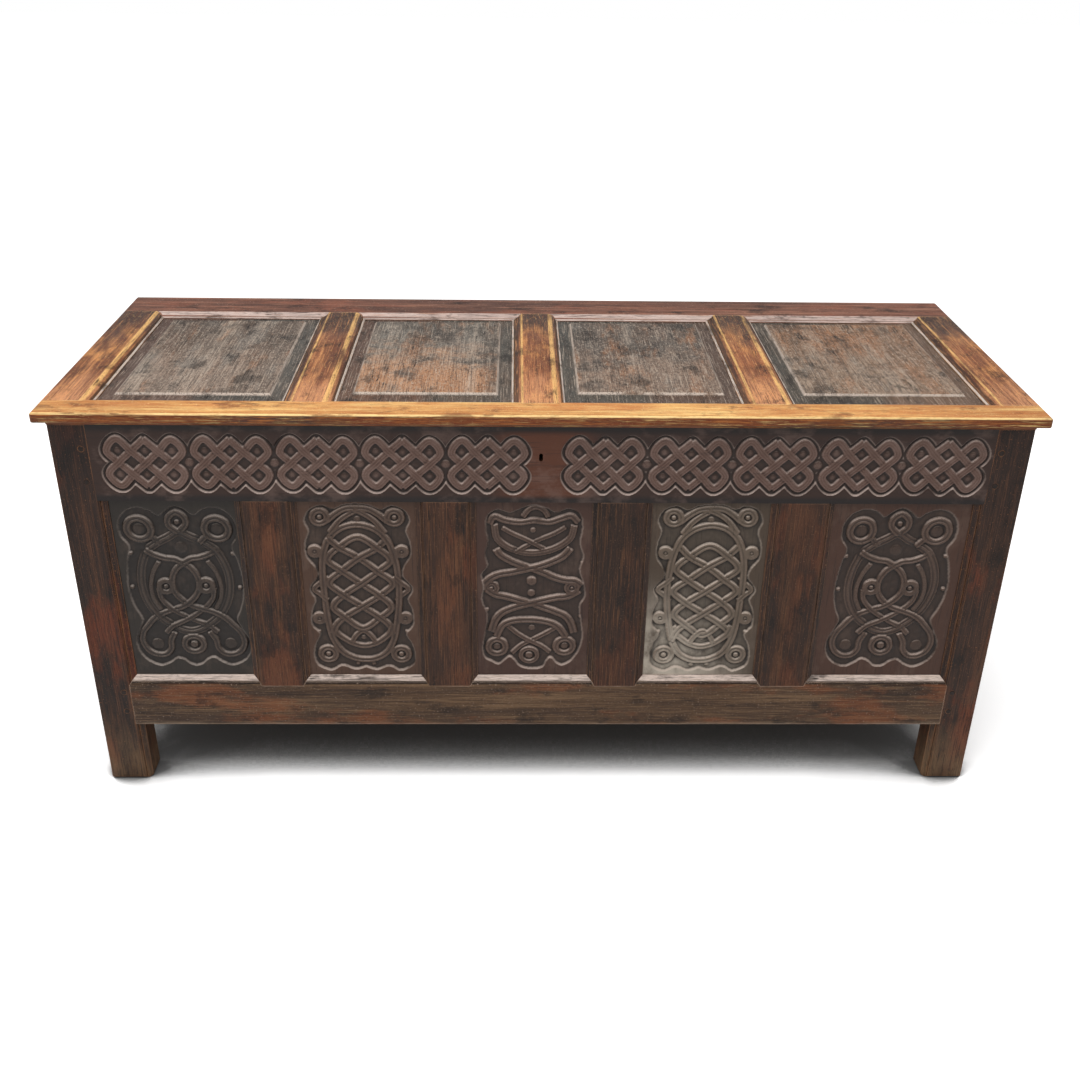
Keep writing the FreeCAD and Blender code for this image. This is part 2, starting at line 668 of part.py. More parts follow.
def lid_cross_member(i, envelope):
    """End stile or muntin of the lid, tenoned between its two rails."""
    half = LID_LENGTH / 2.0
    low = LID.seam(False)
    high = LID.seam(True)
    last = len(LID.openings)
    if i == 0:
        low = [(-half, low[0][1])] + low[:3]
        high = [(-half, high[0][1])] + high[:3]
        x0, x1 = -half, LID.openings[0][0]
    elif i == last:
        low = low[-3:] + [(half, low[-1][1])]
        high = high[-3:] + [(half, high[-1][1])]
        x0, x1 = LID.openings[-1][1], half
    else:
        low = low[6 * i - 3:6 * i + 3]
        high = high[6 * i - 3:6 * i + 3]
        x0, x1 = LID.muntin_sight(i - 1)
    face = prism(low + high[::-1], 0.0, PANEL_RECESS)
    body = box(x0, x1, PANEL_RECESS, LID_THICKNESS, LID.low, LID.high)
    tenon_x0, tenon_x1 = lid_tenon_span(i)
    ends = tenon(
        tenon_x0, tenon_x1, LID.low - LID_TENON_LENGTH, LID.high + LID_TENON_LENGTH,
        LID_TENON_THICKNESS,
    )
    return at_lid(joined(body, face, ends).cut(LID.cutters())).common(envelope)


def floor_boards():
    """Boards that run from front to back in the grooves of the rails, notched round the stiles."""
    space = floor_space(0.0).BoundBox
    width = space.XLength / FLOOR_BOARD_COUNT
    notches = []
    for x_side in (-1.0, 1.0):
        for face, y_side in ((CASE_FRONT, 1.0), (CASE_BACK, -1.0)):
            x0, x1 = sorted((x_side * CASE_END, x_side * (CASE_END - STILE_WIDTH - FLOOR_PLAY)))
            y0, y1 = sorted((face, face + y_side * (STILE_DEPTH + FLOOR_PLAY)))
            notches.append(box(x0, x1, y0, y1, 0.0, CASE_HEIGHT))
    boards = []
    for i in range(FLOOR_BOARD_COUNT):
        x0 = space.XMin + i * width
        gap = FLOOR_PLAY if i else 0.0
        board = box(x0 + gap, x0 + width, space.YMin, space.YMax, space.ZMin, space.ZMax)
        boards.append(board.cut(notches))
    return boards


def hinge_places():
    """x of the two hinges, under the first and the last muntin of the lid."""
    first = sum(LID.muntin_sight(0)) / 2.0
    last = sum(LID.muntin_sight(len(LID.openings) - 2)) / 2.0
    return first, last


def knuckle(x, i, radius=KNUCKLE_RADIUS):
    """Knuckle i of the three of a hinge at x."""
    start = x - HINGE_WIDTH / 2.0 + i * (KNUCKLE_LENGTH + KNUCKLE_GAP)
    return cylinder(radius, KNUCKLE_LENGTH, Vector(start, PIVOT_Y, PIVOT_Z), Vector(1, 0, 0))


def pin_bore(x):
    length = HINGE_WIDTH + 2.0 * KNUCKLE_GAP
    start = Vector(x - length / 2.0, PIVOT_Y, PIVOT_Z)
    return cylinder(HINGE_PIN_RADIUS + HINGE_PIN_PLAY, length, start, Vector(1, 0, 0))


def hinge_pin(x):
    """Pin with a riveted head at each end."""
    half = HINGE_WIDTH / 2.0 + KNUCKLE_GAP
    shank = cylinder(HINGE_PIN_RADIUS, 2.0 * half, Vector(x - half, PIVOT_Y, PIVOT_Z), Vector(1, 0, 0))
    heads = []
    for side in (-1.0, 1.0):
        start = Vector(x + side * half, PIVOT_Y, PIVOT_Z)
        heads.append(cylinder(HINGE_PIN_HEAD_RADIUS, HINGE_PIN_HEAD_THICKNESS, start, Vector(side, 0, 0)))
    return joined(shank, *heads)


def hinge_tail(x):
    """Leaf on the outside of the back, with the two outer knuckles."""
    half = HINGE_WIDTH / 2.0
    top = PIVOT_Z - KNUCKLE_RADIUS - KNUCKLE_GAP
    bottom = PIVOT_Z - TAIL_HEIGHT
    outline = [
        (x - half, top), (x - half, bottom + TAIL_FLARE), (x, bottom),
        (x + half, bottom + TAIL_FLARE), (x + half, top),
    ]
    leaf = prism(outline, CASE_BACK, CASE_BACK + TAIL_THICKNESS)
    parts = []
    for i in (0, 2):
        start = x - half + i * (KNUCKLE_LENGTH + KNUCKLE_GAP)
        web = box(start, start + KNUCKLE_LENGTH, CASE_BACK, CASE_BACK + TAIL_THICKNESS, top, PIVOT_Z)
        parts += [web, knuckle(x, i)]
    return joined(leaf, *parts).cut([pin_bore(x)] + nails_at(tail_nails(x), True))


def hinge_strap(x):
    """Long leaf under the lid, with the middle knuckle."""
    half = HINGE_WIDTH / 2.0
    back = PIVOT_Y - KNUCKLE_RADIUS - KNUCKLE_GAP
    front = PIVOT_Y - STRAP_LENGTH
    outline = [
        Vector(x - half, back, 0), Vector(x + half, back, 0),
        Vector(x + half, front + STRAP_POINT_LENGTH, 0), Vector(x, front, 0),
        Vector(x - half, front + STRAP_POINT_LENGTH, 0),
    ]
    strap = Part.Face(Part.makePolygon(outline + outline[:1])).extrude(Vector(0, 0, STRAP_THICKNESS))
    strap.translate(Vector(0, 0, LID_BOTTOM - STRAP_THICKNESS))
    start = x - KNUCKLE_LENGTH / 2.0
    web = box(start, start + KNUCKLE_LENGTH, back, PIVOT_Y, LID_BOTTOM - STRAP_THICKNESS, LID_BOTTOM)
    return joined(strap, web, knuckle(x, 1)).cut([pin_bore(x)] + nails_at(strap_nails(x), True))


def strap_housing(x):
    """Notch in the top of the back rail that a strap lies in when the lid is down."""
    half = HINGE_WIDTH / 2.0 + STRAP_SIDE_GAP
    bottom = LID_BOTTOM - STRAP_THICKNESS - STRAP_HOUSING_GAP
    y0 = CASE_BACK - RAIL_THICKNESS - CUT_OVERRUN
    return box(x - half, x + half, y0, CASE_BACK + CUT_OVERRUN, bottom, LID_TOP)


def nail(seat, direction, length, hole):
    """Rose-headed nail whose head sits at seat and whose shank runs along direction."""
    if hole:
        start = seat - direction * NAIL_HEAD_RISE
        return cylinder(NAIL_RADIUS + NAIL_PLAY, length + 2.0 * NAIL_HEAD_RISE, start, direction)
    shank = cylinder(NAIL_RADIUS, length, seat, direction)
    head = Part.makeCone(NAIL_HEAD_RADIUS, NAIL_HEAD_TIP_RADIUS, NAIL_HEAD_RISE, seat, -direction)
    return joined(shank, head)


def nails_at(places, hole):
    return [nail(seat, direction, length, hole) for seat, direction, length in places]


def tail_nails(x):
    """Four nails through a hinge's tail into the back top rail."""
    face = CASE_BACK + TAIL_THICKNESS
    length = TAIL_THICKNESS + NAIL_LENGTH
    top = PIVOT_Z - KNUCKLE_RADIUS - KNUCKLE_GAP - NAIL_INSET
    spread = HINGE_WIDTH / 2.0 - NAIL_INSET
    low = PIVOT_Z - TAIL_HEIGHT + TAIL_FLARE + NAIL_INSET
    places = []
    for z in (top, low):
        for side in (-1.0, 1.0):
            places.append((Vector(x + side * spread, face, z), Vector(0, -1, 0), length))
    return places


def strap_nails(x):
    """Row of nails along a strap, up into the lid's back rail and muntin."""
    face = LID_BOTTOM - STRAP_THICKNESS
    length = STRAP_THICKNESS + NAIL_LENGTH
    count = int((STRAP_LENGTH - STRAP_POINT_LENGTH - STRAP_NAIL_START) // STRAP_NAIL_PITCH) + 1
    places = []
    for i in range(count):
        y = PIVOT_Y - STRAP_NAIL_START - i * STRAP_NAIL_PITCH
        places.append((Vector(x, y, face), Vector(0, 0, 1), length))
    return places


def lock_nails():
    """Nails at the corners of the lock's plate, into the front top rail."""
    face = PLATE_INNER_FACE
    top = LOCK_PLATE_TOP - LOCK_NAIL_INSET
    low = LOCK_PLATE_TOP - LOCK_PLATE_HEIGHT + LOCK_NAIL_INSET
    spread = LOCK_PLATE_WIDTH / 2.0 - LOCK_NAIL_INSET
    length = LOCK_PLATE_THICKNESS + NAIL_LENGTH
    places = []
    for z in (top, low):
        for side in (-1.0, 1.0):
            places.append((Vector(KEYHOLE_X + side * spread, face, z), Vector(0, -1, 0), length))
    return places


def staple_nails():
    """Nails at the two ends of the staple's plate, up into the lid's front rail."""
    face = LID_BOTTOM - STAPLE_PLATE_THICKNESS
    spread = STAPLE_PLATE_LENGTH / 2.0 - NAIL_INSET
    length = STAPLE_PLATE_THICKNESS + STAPLE_NAIL_LENGTH
    return [(Vector(STAPLE_X + side * spread, STAPLE_Y, face), Vector(0, 0, 1), length) for side in (-1, 1)]


def keyhole(y0, y1):
    """Slot with round ends."""
    radius = KEYHOLE_WIDTH / 2.0
    reach = KEYHOLE_LENGTH / 2.0 - radius
    slot = box(
        KEYHOLE_X - radius, KEYHOLE_X + radius, y0, y1, KEYHOLE_HEIGHT - reach, KEYHOLE_HEIGHT + reach,
    )
    ends = []
    for z in (KEYHOLE_HEIGHT - reach, KEYHOLE_HEIGHT + reach):
        ends.append(cylinder(radius, y1 - y0, Vector(KEYHOLE_X, y0, z), Vector(0, 1, 0)))
    return joined(slot, *ends)


def lock_plate():
    half = LOCK_PLATE_WIDTH / 2.0
    back = CASE_FRONT + RAIL_THICKNESS
    plate = box(
        KEYHOLE_X - half, KEYHOLE_X + half, back, PLATE_INNER_FACE,
        LOCK_PLATE_TOP - LOCK_PLATE_HEIGHT, LOCK_PLATE_TOP,
    )
    hole = keyhole(back - CUT_OVERRUN, PLATE_INNER_FACE + CUT_OVERRUN)
    return plate.cut([hole] + nails_at(lock_nails(), True))


def lock_case():
    """Box over the bolt, open to the plate, with a slot in its top for the staple."""
    half = LOCK_CASE_WIDTH / 2.0
    top = LOCK_CASE_TOP
    bottom = top - LOCK_CASE_HEIGHT
    wall = LOCK_CASE_WALL
    inner = PLATE_INNER_FACE + LOCK_CASE_DEPTH
    shell = box(KEYHOLE_X - half, KEYHOLE_X + half, PLATE_INNER_FACE, inner, bottom, top)
    room = box(
        KEYHOLE_X - half + wall, KEYHOLE_X + half - wall, PLATE_INNER_FACE - CUT_OVERRUN, inner - wall,
        bottom + wall, top - wall,
    )
    slot_x = STAPLE_WIDTH / 2.0 + STAPLE_SIDE_GAP
    slot = box(
        STAPLE_X - slot_x, STAPLE_X + slot_x, PLATE_INNER_FACE - CUT_OVERRUN, inner - wall,
        top - wall - CUT_OVERRUN, top + CUT_OVERRUN,
    )
    return shell.cut([room, slot])


def lock_bolt():
    """Square bolt, drawn back from the staple, with a notch that the key catches in."""
    y = STAPLE_Y
    bolt = box(
        BOLT_TIP - BOLT_LENGTH, BOLT_TIP, y - BOLT_THICKNESS / 2.0, y + BOLT_THICKNESS / 2.0,
        BOLT_BOTTOM, BOLT_BOTTOM + BOLT_HEIGHT,
    )
    talon = box(
        KEYHOLE_X - BOLT_TALON_WIDTH / 2.0, KEYHOLE_X + BOLT_TALON_WIDTH / 2.0,
        y - BOLT_THICKNESS, y + BOLT_THICKNESS, BOLT_BOTTOM - CUT_OVERRUN, BOLT_BOTTOM + BOLT_TALON_DEPTH,
    )
    return bolt.cut(talon)


def bolt_guides():
    """Two bridges on the lock's plate that the bolt slides through."""
    outer_y = STAPLE_Y + BOLT_THICKNESS / 2.0 + GUIDE_PLAY + GUIDE_BAR
    z0 = BOLT_BOTTOM - GUIDE_PLAY
    z1 = BOLT_BOTTOM + BOLT_HEIGHT + GUIDE_PLAY
    guides = []
    for x0 in (BOLT_TIP - BOLT_LENGTH + GUIDE_FROM_BOLT_END, BOLT_TIP - GUIDE_FROM_BOLT_END - GUIDE_WIDTH):
        x1 = x0 + GUIDE_WIDTH
        bridge = box(x0, x1, PLATE_INNER_FACE, outer_y, z0 - GUIDE_BAR, z1 + GUIDE_BAR)
        y0 = STAPLE_Y - BOLT_THICKNESS / 2.0 - GUIDE_PLAY
        way = box(x0 - CUT_OVERRUN, x1 + CUT_OVERRUN, y0, outer_y - GUIDE_BAR, z0, z1)
        guides.append(bridge.cut(way))
    return guides


def key_pin():
    """Pin on the back of the lock's case that a pipe key turns on."""
    start = Vector(KEYHOLE_X, PLATE_INNER_FACE + LOCK_CASE_DEPTH - LOCK_CASE_WALL, KEYHOLE_HEIGHT)
    return cylinder(KEY_PIN_RADIUS, KEY_PIN_LENGTH, start, Vector(0, -1, 0))


def lock_staple():
    """Plate under the lid with a loop that drops into the lock's case."""
    plate = box(
        STAPLE_X - STAPLE_PLATE_LENGTH / 2.0, STAPLE_X + STAPLE_PLATE_LENGTH / 2.0,
        STAPLE_Y - STAPLE_PLATE_WIDTH / 2.0, STAPLE_Y + STAPLE_PLATE_WIDTH / 2.0,
        LID_BOTTOM - STAPLE_PLATE_THICKNESS, LID_BOTTOM,
    )
    half = STAPLE_WIDTH / 2.0
    loop = box(
        STAPLE_X - half, STAPLE_X + half, STAPLE_Y - STAPLE_DEPTH / 2.0, STAPLE_Y + STAPLE_DEPTH / 2.0,
        STAPLE_BOTTOM, LID_BOTTOM - STAPLE_PLATE_THICKNESS,
    )
    eye = box(
        STAPLE_X - half - CUT_OVERRUN, STAPLE_X + half + CUT_OVERRUN,
        STAPLE_Y - STAPLE_EYE / 2.0, STAPLE_Y + STAPLE_EYE / 2.0,
        STAPLE_BOTTOM + STAPLE_BAR, LID_BOTTOM - STAPLE_PLATE_THICKNESS,
    )
    return joined(plate, loop.cut(eye)).cut(nails_at(staple_nails(), True))


def keep(name, shape):
    NODES[name] = shape


def make_stiles():
    front = stile_cuts(FRONT, RAIL_TENON_LENGTH, FRONT_PEG_SETBACK) + [stile_run()]
    back = stile_cuts(BACK, RAIL_TENON_LENGTH, FRONT_PEG_SETBACK)
    end = stile_cuts(END, END_RAIL_TENON_LENGTH, END_PEG_SETBACK)
    for side, x_side in (("left", -1.0), ("right", 1.0)):
        keep("front_%s_stile" % side, case_stile(at_front, front, end, x_side, -1.0))
        keep("back_%s_stile" % side, case_stile(at_back, back, end, x_side, 1.0))


def make_face(name, frame, place, tenon_length, peg_setback, extra_cuts):
    """Rails, muntins and panels of one face of the case."""
    for level, upper in (("top", True), ("bottom", False)):
        rail = place(case_rail(frame, upper, tenon_length, peg_setback))
        keep("%s_%s_rail" % (name, level), rail.cut(extra_cuts))
    muntins = len(frame.openings) - 1
    for i in range(muntins):
        label = "%s_muntin_%d" % (name, i + 1) if muntins > 1 else "%s_muntin" % name
        keep(label, place(case_muntin(frame, i)))
    for i in range(len(frame.openings)):
        keep("%s_panel_%d" % (name, i + 1), place(case_panel(frame, i)))


def make_case():
    make_stiles()
    floor = floor_space(FLOOR_PLAY / 2.0)
    lock_cuts = [keyhole(CASE_FRONT - CUT_OVERRUN, CASE_FRONT + RAIL_THICKNESS + CUT_OVERRUN)]
    lock_cuts += nails_at(lock_nails(), True)
    hinge_cuts = []
    for x in hinge_places():
        hinge_cuts += [strap_housing(x)] + nails_at(tail_nails(x), True)
    make_face("front", FRONT, at_front, RAIL_TENON_LENGTH, FRONT_PEG_SETBACK, [floor] + lock_cuts)
    make_face("back", BACK, at_back, RAIL_TENON_LENGTH, FRONT_PEG_SETBACK, [floor] + hinge_cuts)
    make_face("left_end", END, at_left, END_RAIL_TENON_LENGTH, END_PEG_SETBACK, [floor])
    make_face("right_end", END, at_right, END_RAIL_TENON_LENGTH, END_PEG_SETBACK, [floor])
    keep("floor_boards", Part.makeCompound(floor_boards()))
    all_pegs = [at_front(p) for p in pegs(FRONT, FRONT_PEG_SETBACK, PEG_RADIUS, -PEG_PROUD)]
    all_pegs += [at_back(p) for p in pegs(BACK, FRONT_PEG_SETBACK, PEG_RADIUS, -PEG_PROUD)]
    for place in (at_left, at_right):
        all_pegs += [place(p) for p in pegs(END, END_PEG_SETBACK, PEG_RADIUS, -PEG_PROUD)]
    keep("joint_pegs", Part.makeCompound(all_pegs))


def make_lid():
    envelope = lid_envelope()
    nail_cuts = nails_at(staple_nails(), True)
    for x in hinge_places():
        nail_cuts += nails_at(strap_nails(x), True)
    keep("lid_front_rail", lid_rail(False, envelope).cut(nail_cuts))
    keep("lid_back_rail", lid_rail(True, envelope).cut(nail_cuts))
    last = len(LID.openings)
    for i in range(last + 1):
        label = {0: "lid_left_stile", last: "lid_right_stile"}.get(i, "lid_muntin_%d" % i)
        keep(label, lid_cross_member(i, envelope).cut(nail_cuts))
    for i in range(last):
        keep("lid_panel_%d" % (i + 1), at_lid(lid_panel(i)))


def make_hinges():
    case_nails = nails_at(lock_nails(), False)
    lid_nails = nails_at(staple_nails(), False)
    for side, x in zip(("left", "right"), hinge_places()):
        keep("hinge_tail_%s" % side, hinge_tail(x))
        keep("hinge_strap_%s" % side, hinge_strap(x))
        keep("hinge_pin_%s" % side, hinge_pin(x))
        case_nails += nails_at(tail_nails(x), False)
        lid_nails += nails_at(strap_nails(x), False)
    keep("case_nails", Part.makeCompound(case_nails))
    keep("lid_nails", Part.makeCompound(lid_nails))


def make_lock():
    keep("lock_plate", lock_plate())
    keep("lock_case", lock_case())
    keep("lock_bolt", lock_bolt())
    keep("lock_bolt_guides", Part.makeCompound(bolt_guides()))
    keep("lock_key_pin", key_pin())
    keep("lock_staple", lock_staple())


def main():
    make_case()
    make_lid()
    make_hinges()
    make_lock()
    os.makedirs("parts", exist_ok=True)
    for name, shape in NODES.items():
        shape.exportStep("parts/%s.step" % name)


main()
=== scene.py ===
"""Looks of the joined oak coffer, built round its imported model.

Metres, in the model's frame: +X runs along the front, +Y goes to the back and +Z is up.
Colours are written as they look on a screen, from 0 to 255.
"""
import json
import math

import bmesh
import bpy
import numpy as np
from mathutils import Matrix, Vector


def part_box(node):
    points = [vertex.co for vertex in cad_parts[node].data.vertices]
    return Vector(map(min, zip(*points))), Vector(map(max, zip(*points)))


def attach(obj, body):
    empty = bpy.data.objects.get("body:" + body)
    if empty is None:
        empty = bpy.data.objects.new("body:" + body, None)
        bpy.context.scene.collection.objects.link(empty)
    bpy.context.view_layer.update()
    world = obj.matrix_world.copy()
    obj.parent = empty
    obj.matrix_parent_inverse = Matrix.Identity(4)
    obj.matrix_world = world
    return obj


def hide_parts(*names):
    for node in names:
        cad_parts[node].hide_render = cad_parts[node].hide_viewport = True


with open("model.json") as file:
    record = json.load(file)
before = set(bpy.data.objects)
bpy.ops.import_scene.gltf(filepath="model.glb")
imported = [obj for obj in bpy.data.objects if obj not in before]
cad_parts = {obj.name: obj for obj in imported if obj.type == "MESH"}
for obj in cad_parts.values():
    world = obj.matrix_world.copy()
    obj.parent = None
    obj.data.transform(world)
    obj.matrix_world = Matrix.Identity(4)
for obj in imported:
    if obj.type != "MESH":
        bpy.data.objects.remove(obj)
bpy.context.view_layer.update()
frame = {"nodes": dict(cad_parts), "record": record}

MM = 0.001
ALONG_X, ALONG_Y, ALONG_Z = 0, 1, 2

# Camera
IMAGE_SIZE = 1080.0
SENSOR_WIDTH = 36.0
FOCAL_LENGTH_PIXELS = 1221.9
CAMERA_PLACE = Vector((-0.0490, -2.0789, 1.4412))
CAMERA_PITCH = math.radians(27.893)
CAMERA_YAW = math.radians(1.390)
CAMERA_ROLL = math.radians(0.844)

# Lights, and how much light the floor gives back to the camera and to the chest
WORLD_LEVEL = 0.62
BACKGROUND_LEVEL = 1.0
KEY_PLACE = Vector((-0.5, -1.3, 3.1))
KEY_AIM = Vector((0.0, 0.0, 0.4))
KEY_SIZE = 2.6
KEY_POWER = 58.0
FLOOR_SIZE = 30.0
FLOOR_TO_CAMERA = (1.75, 1.75, 1.75, 1.0)
FLOOR_TO_LIGHT = (0.45, 0.45, 0.45, 1.0)
# The floor's colour to the camera darkens to a painted shadow where the chest closes the floor in
SHADOW_COLOUR = (0.17, 0.17, 0.17, 1.0)
SHADOW_REACH = 0.22
SHADOW_SAMPLES = 16
SHADOW_START = 0.26
SHADOW_FULL = 0.5

# How far an arris is rounded, and how far from it the wood and the iron are rubbed
CASE_ARRIS = 1.1 * MM
IRON_ARRIS = 0.35 * MM
WORN_REACH = 3.4 * MM
IRON_WORN_REACH = 1.5 * MM

# Faces that turn by more than the first angle meet at an arris, and by less than the second are one
ARRIS_ANGLE = math.radians(28.0)
FLAT_ANGLE = math.radians(0.5)

# How far grime and painted shade reach out of a corner, on a plain board and on a carved one
GRIME_AND_SHADE_REACH = 12.0 * MM
CARVED_GRIME_AND_SHADE_REACH = 14.0 * MM

# How a material finds corners and arrises, how it shines, and how each seed moves its patterns
CORNER_SAMPLES = 4
ARRIS_FLAT = 0.985
ARRIS_TURNED = 0.82
SPECULAR_LEVEL = 0.18
COAT_ROUGHNESS = 0.3
SEED_STEPS = (1.71, 2.37, 3.13)
SEED_PER_METRE = 9.0

# How near points are merged in a node and in a carved board, and how near a plane counts as on it
WELD_REACH = 0.01 * MM
SAME_POINT = 0.001 * MM
SAME_PLANE = 0.01 * MM


def linear(colour):
    """A screen colour as the renderer takes it, by the usual sRGB curve."""
    parts = []
    for channel in colour:
        c = channel / 255.0
        parts.append(c / 12.92 if c <= 0.04045 else ((c + 0.055) / 1.055) ** 2.4)
    return (*parts, 1.0)


class Shader:
    """Short calls that build one material out of nodes."""

    def __init__(self, name):
        self.material = bpy.data.materials.new(name)
        self.material.use_nodes = True
        self.tree = self.material.node_tree
        self.tree.nodes.clear()
        self.colour = None
        coordinates = self.node("ShaderNodeTexCoord")
        self.place = coordinates.outputs["Object"]
        self.x, self.y, self.z = self.parts(self.place)
        _, self.facing_y, self.facing_z = self.parts(coordinates.outputs["Normal"])

    def node(self, kind, inputs=None, **settings):
        made = self.tree.nodes.new(kind)
        for key, value in settings.items():
            setattr(made, key, value)
        for key, value in (inputs or {}).items():
            self.put(made.inputs[key], value)
        return made

    def put(self, socket, value):
        if isinstance(value, bpy.types.NodeSocket):
            self.tree.links.new(value, socket)
        else:
            socket.default_value = value

    def parts(self, vector):
        return self.node("ShaderNodeSeparateXYZ", {0: vector}).outputs[:]

    def math(self, operation, a, b=0.0):
        return self.node("ShaderNodeMath", {0: a, 1: b}, operation=operation).outputs[0]

    def times(self, *values):
        product = values[0]
        for value in values[1:]:
            product = self.math("MULTIPLY", product, value)
        return product

    def most(self, a, b):
        return self.math("MAXIMUM", a, b)

    def between(self, value, low, high):
        """0 where the value is at low and 1 where it is at high, with a smooth step."""
        inputs = {"Value": value, "From Min": low, "From Max": high}
        return self.node("ShaderNodeMapRange", inputs, interpolation_type="SMOOTHSTEP").outputs[0]

    def mix(self, factor, a, b):
        return self.node("ShaderNodeMix", {0: factor, 6: a, 7: b}, data_type="RGBA").outputs[2]

    def cover(self, tone, *shares):
        """Lays a tone over the colour so far, by the product of the shares."""
        self.colour = self.mix(self.times(*shares), self.colour, tone)

    def tint(self, value, low, high, strength, tone):
        """Lays on a tone that starts where the value is at low, and is full at high."""
        self.cover(tone, self.between(value, low, high), strength)

    def spread(self, value, low, high):
        """A pattern's values, which go from 0 to 1, as values from low to high."""
        inputs = {"Value": value, "To Min": low, "To Max": high}
        return self.node("ShaderNodeMapRange", inputs).outputs[0]

    def noise(self, vector, scale, detail, roughness=0.55, distortion=0.0):
        inputs = {
            "Vector": vector, "Scale": scale, "Detail": detail, "Roughness": roughness,
            "Distortion": distortion,
        }
        return self.node("ShaderNodeTexNoise", inputs).outputs[0]

    def streaks(self, grain, seed, pattern):
        """A pattern drawn out along the grain, and moved so that each board has its own."""
        along, across, *noise = pattern
        scale = [across, across, across]
        scale[grain] = along
        offset = [seed * step for step in SEED_STEPS]
        inputs = {"Vector": self.place, "Location": offset, "Scale": scale}
        return self.noise(self.node("ShaderNodeMapping", inputs).outputs[0], 1.0, *noise)

    def speckle(self, pattern):
        """A pattern that is the same in every direction."""
        return self.noise(self.place, *pattern)

    def forward(self):
        """How much a face looks to the front."""
        return self.math("MULTIPLY", self.facing_y, -1.0)

    def arris(self, radius):
        """0 on a flat, and towards 1 within the radius of an edge."""
        bevel = self.node("ShaderNodeBevel", {"Radius": radius}, samples=CORNER_SAMPLES)
        true_normal = self.node("ShaderNodeNewGeometry").outputs["True Normal"]
        inputs = {0: bevel.outputs[0], 1: true_normal}
        same = self.node("ShaderNodeVectorMath", inputs, operation="DOT_PRODUCT").outputs["Value"]
        return self.between(same, ARRIS_FLAT, ARRIS_TURNED)

    def hollow(self, distance, samples=CORNER_SAMPLES):
        """Towards 1 in a corner that other faces close in."""
        open_share = self.node("ShaderNodeAmbientOcclusion", {"Distance": distance}, samples=samples)
        return self.math("SUBTRACT", 1.0, open_share.outputs["AO"])

    def bump(self, height, depth, normal=None):
        inputs = {"Height": height, "Strength": 1.0, "Distance": depth}
        if normal is not None:
            inputs["Normal"] = normal
        return self.node("ShaderNodeBump", inputs).outputs[0]

    def finish(self, roughness, normal, coat=0.0, metallic=0.0):
        inputs = {
            "Base Color": self.colour, "Roughness": roughness, "Normal": normal,
            "Coat Weight": coat, "Coat Roughness": COAT_ROUGHNESS, "Metallic": metallic,
            "Specular IOR Level": SPECULAR_LEVEL,
        }
        surface = self.node("ShaderNodeBsdfPrincipled", inputs)
        output = self.node("ShaderNodeOutputMaterial")
        self.tree.links.new(surface.outputs[0], output.inputs["Surface"])
        return self.material


class Tones:
    """The colours of one kind of old oak, from its dark hollows to its rubbed arrises; its tone for stains
    also serves as painted shade, and its tone for wear as a painted highlight.
    """

    def __init__(self, dark, middle, light, worn_and_highlight, stain_and_shade, warm=None):
        self.dark = linear(dark)
        self.middle = linear(middle)
        self.light = linear(light)
        self.worn_and_highlight = linear(worn_and_highlight)
        self.stain_and_shade = linear(stain_and_shade)
        self.warm = linear(warm or middle)


CASE_TONES = Tones(
    (32, 21, 16), (68, 44, 32), (112, 76, 52), (138, 104, 80), (14, 9, 8), (112, 63, 41))
STILE_TONES = Tones(
    (28, 18, 14), (56, 37, 28), (96, 64, 46), (150, 102, 68), (12, 8, 7), (116, 58, 36))
RAIL_TONES = Tones(
    (56, 40, 30), (92, 69, 50), (132, 104, 78), (190, 164, 146), (20, 14, 12), (134, 78, 48))
LID_FRONT_TONES = Tones(
    (186, 116, 60), (244, 184, 108), (255, 216, 140), (255, 226, 162), (112, 64, 36), (204, 126, 68))
LID_FRAME_TONES = Tones(
    (108, 60, 36), (178, 108, 66), (220, 152, 96), (250, 204, 134), (40, 25, 20), (240, 166, 94))
LID_BACK_TONES = Tones(
    (66, 38, 30), (132, 82, 62), (176, 124, 98), (204, 164, 138), (26, 18, 16), (146, 82, 58))
FIELD_TONES = Tones(
    (80, 66, 56), (134, 116, 100), (184, 166, 148), (216, 200, 184), (34, 28, 25), (150, 104, 72))
PEG_TONES = Tones((20, 14, 11), (28, 19, 15), (44, 31, 25), (70, 50, 38), (9, 6, 5), (34, 22, 17))
DRY_TONES = Tones(
    (96, 72, 52), (136, 106, 78), (164, 134, 102), (184, 156, 122), (60, 44, 34), (146, 112, 80))
FRIEZE_TONES = Tones((54, 39, 33), (90, 67, 58), (138, 115, 106), (184, 164, 154), (30, 21, 18))

# Colours of single parts of a board
EDGE_COLOUR = linear((104, 50, 30))
BAND_COLOUR = linear((150, 96, 76))
NOSING_HIGHLIGHT_COLOUR = linear((255, 220, 152))
LEDGE_WAX_AND_HIGHLIGHT_COLOUR = linear((226, 206, 194))
CHAMFER_HIGHLIGHT_COLOUR = linear((206, 190, 176))
CHAMFER_SIDE_HIGHLIGHT_COLOUR = linear((190, 174, 160))
FRAME_FRONT_COLOUR = linear((222, 156, 110))
FRAME_BACK_AND_SHEEN_COLOUR = linear((92, 68, 60))
FRAME_BLOTCH_COLOUR = linear((86, 50, 36))
FRAME_FAR_COLOUR = linear((58, 45, 41))
RUDDY_COLOUR = linear((206, 128, 68))
LIP_HIGHLIGHT_COLOUR = linear((206, 192, 180))
MOULDING_SHADE_COLOUR = linear((48, 31, 25))
ARRIS_HIGHLIGHT_COLOUR = linear((248, 196, 122))
BACK_MOULDING_HIGHLIGHT_COLOUR = linear((210, 188, 178))
MUNTIN_GLOW_COLOUR = linear((104, 66, 46))
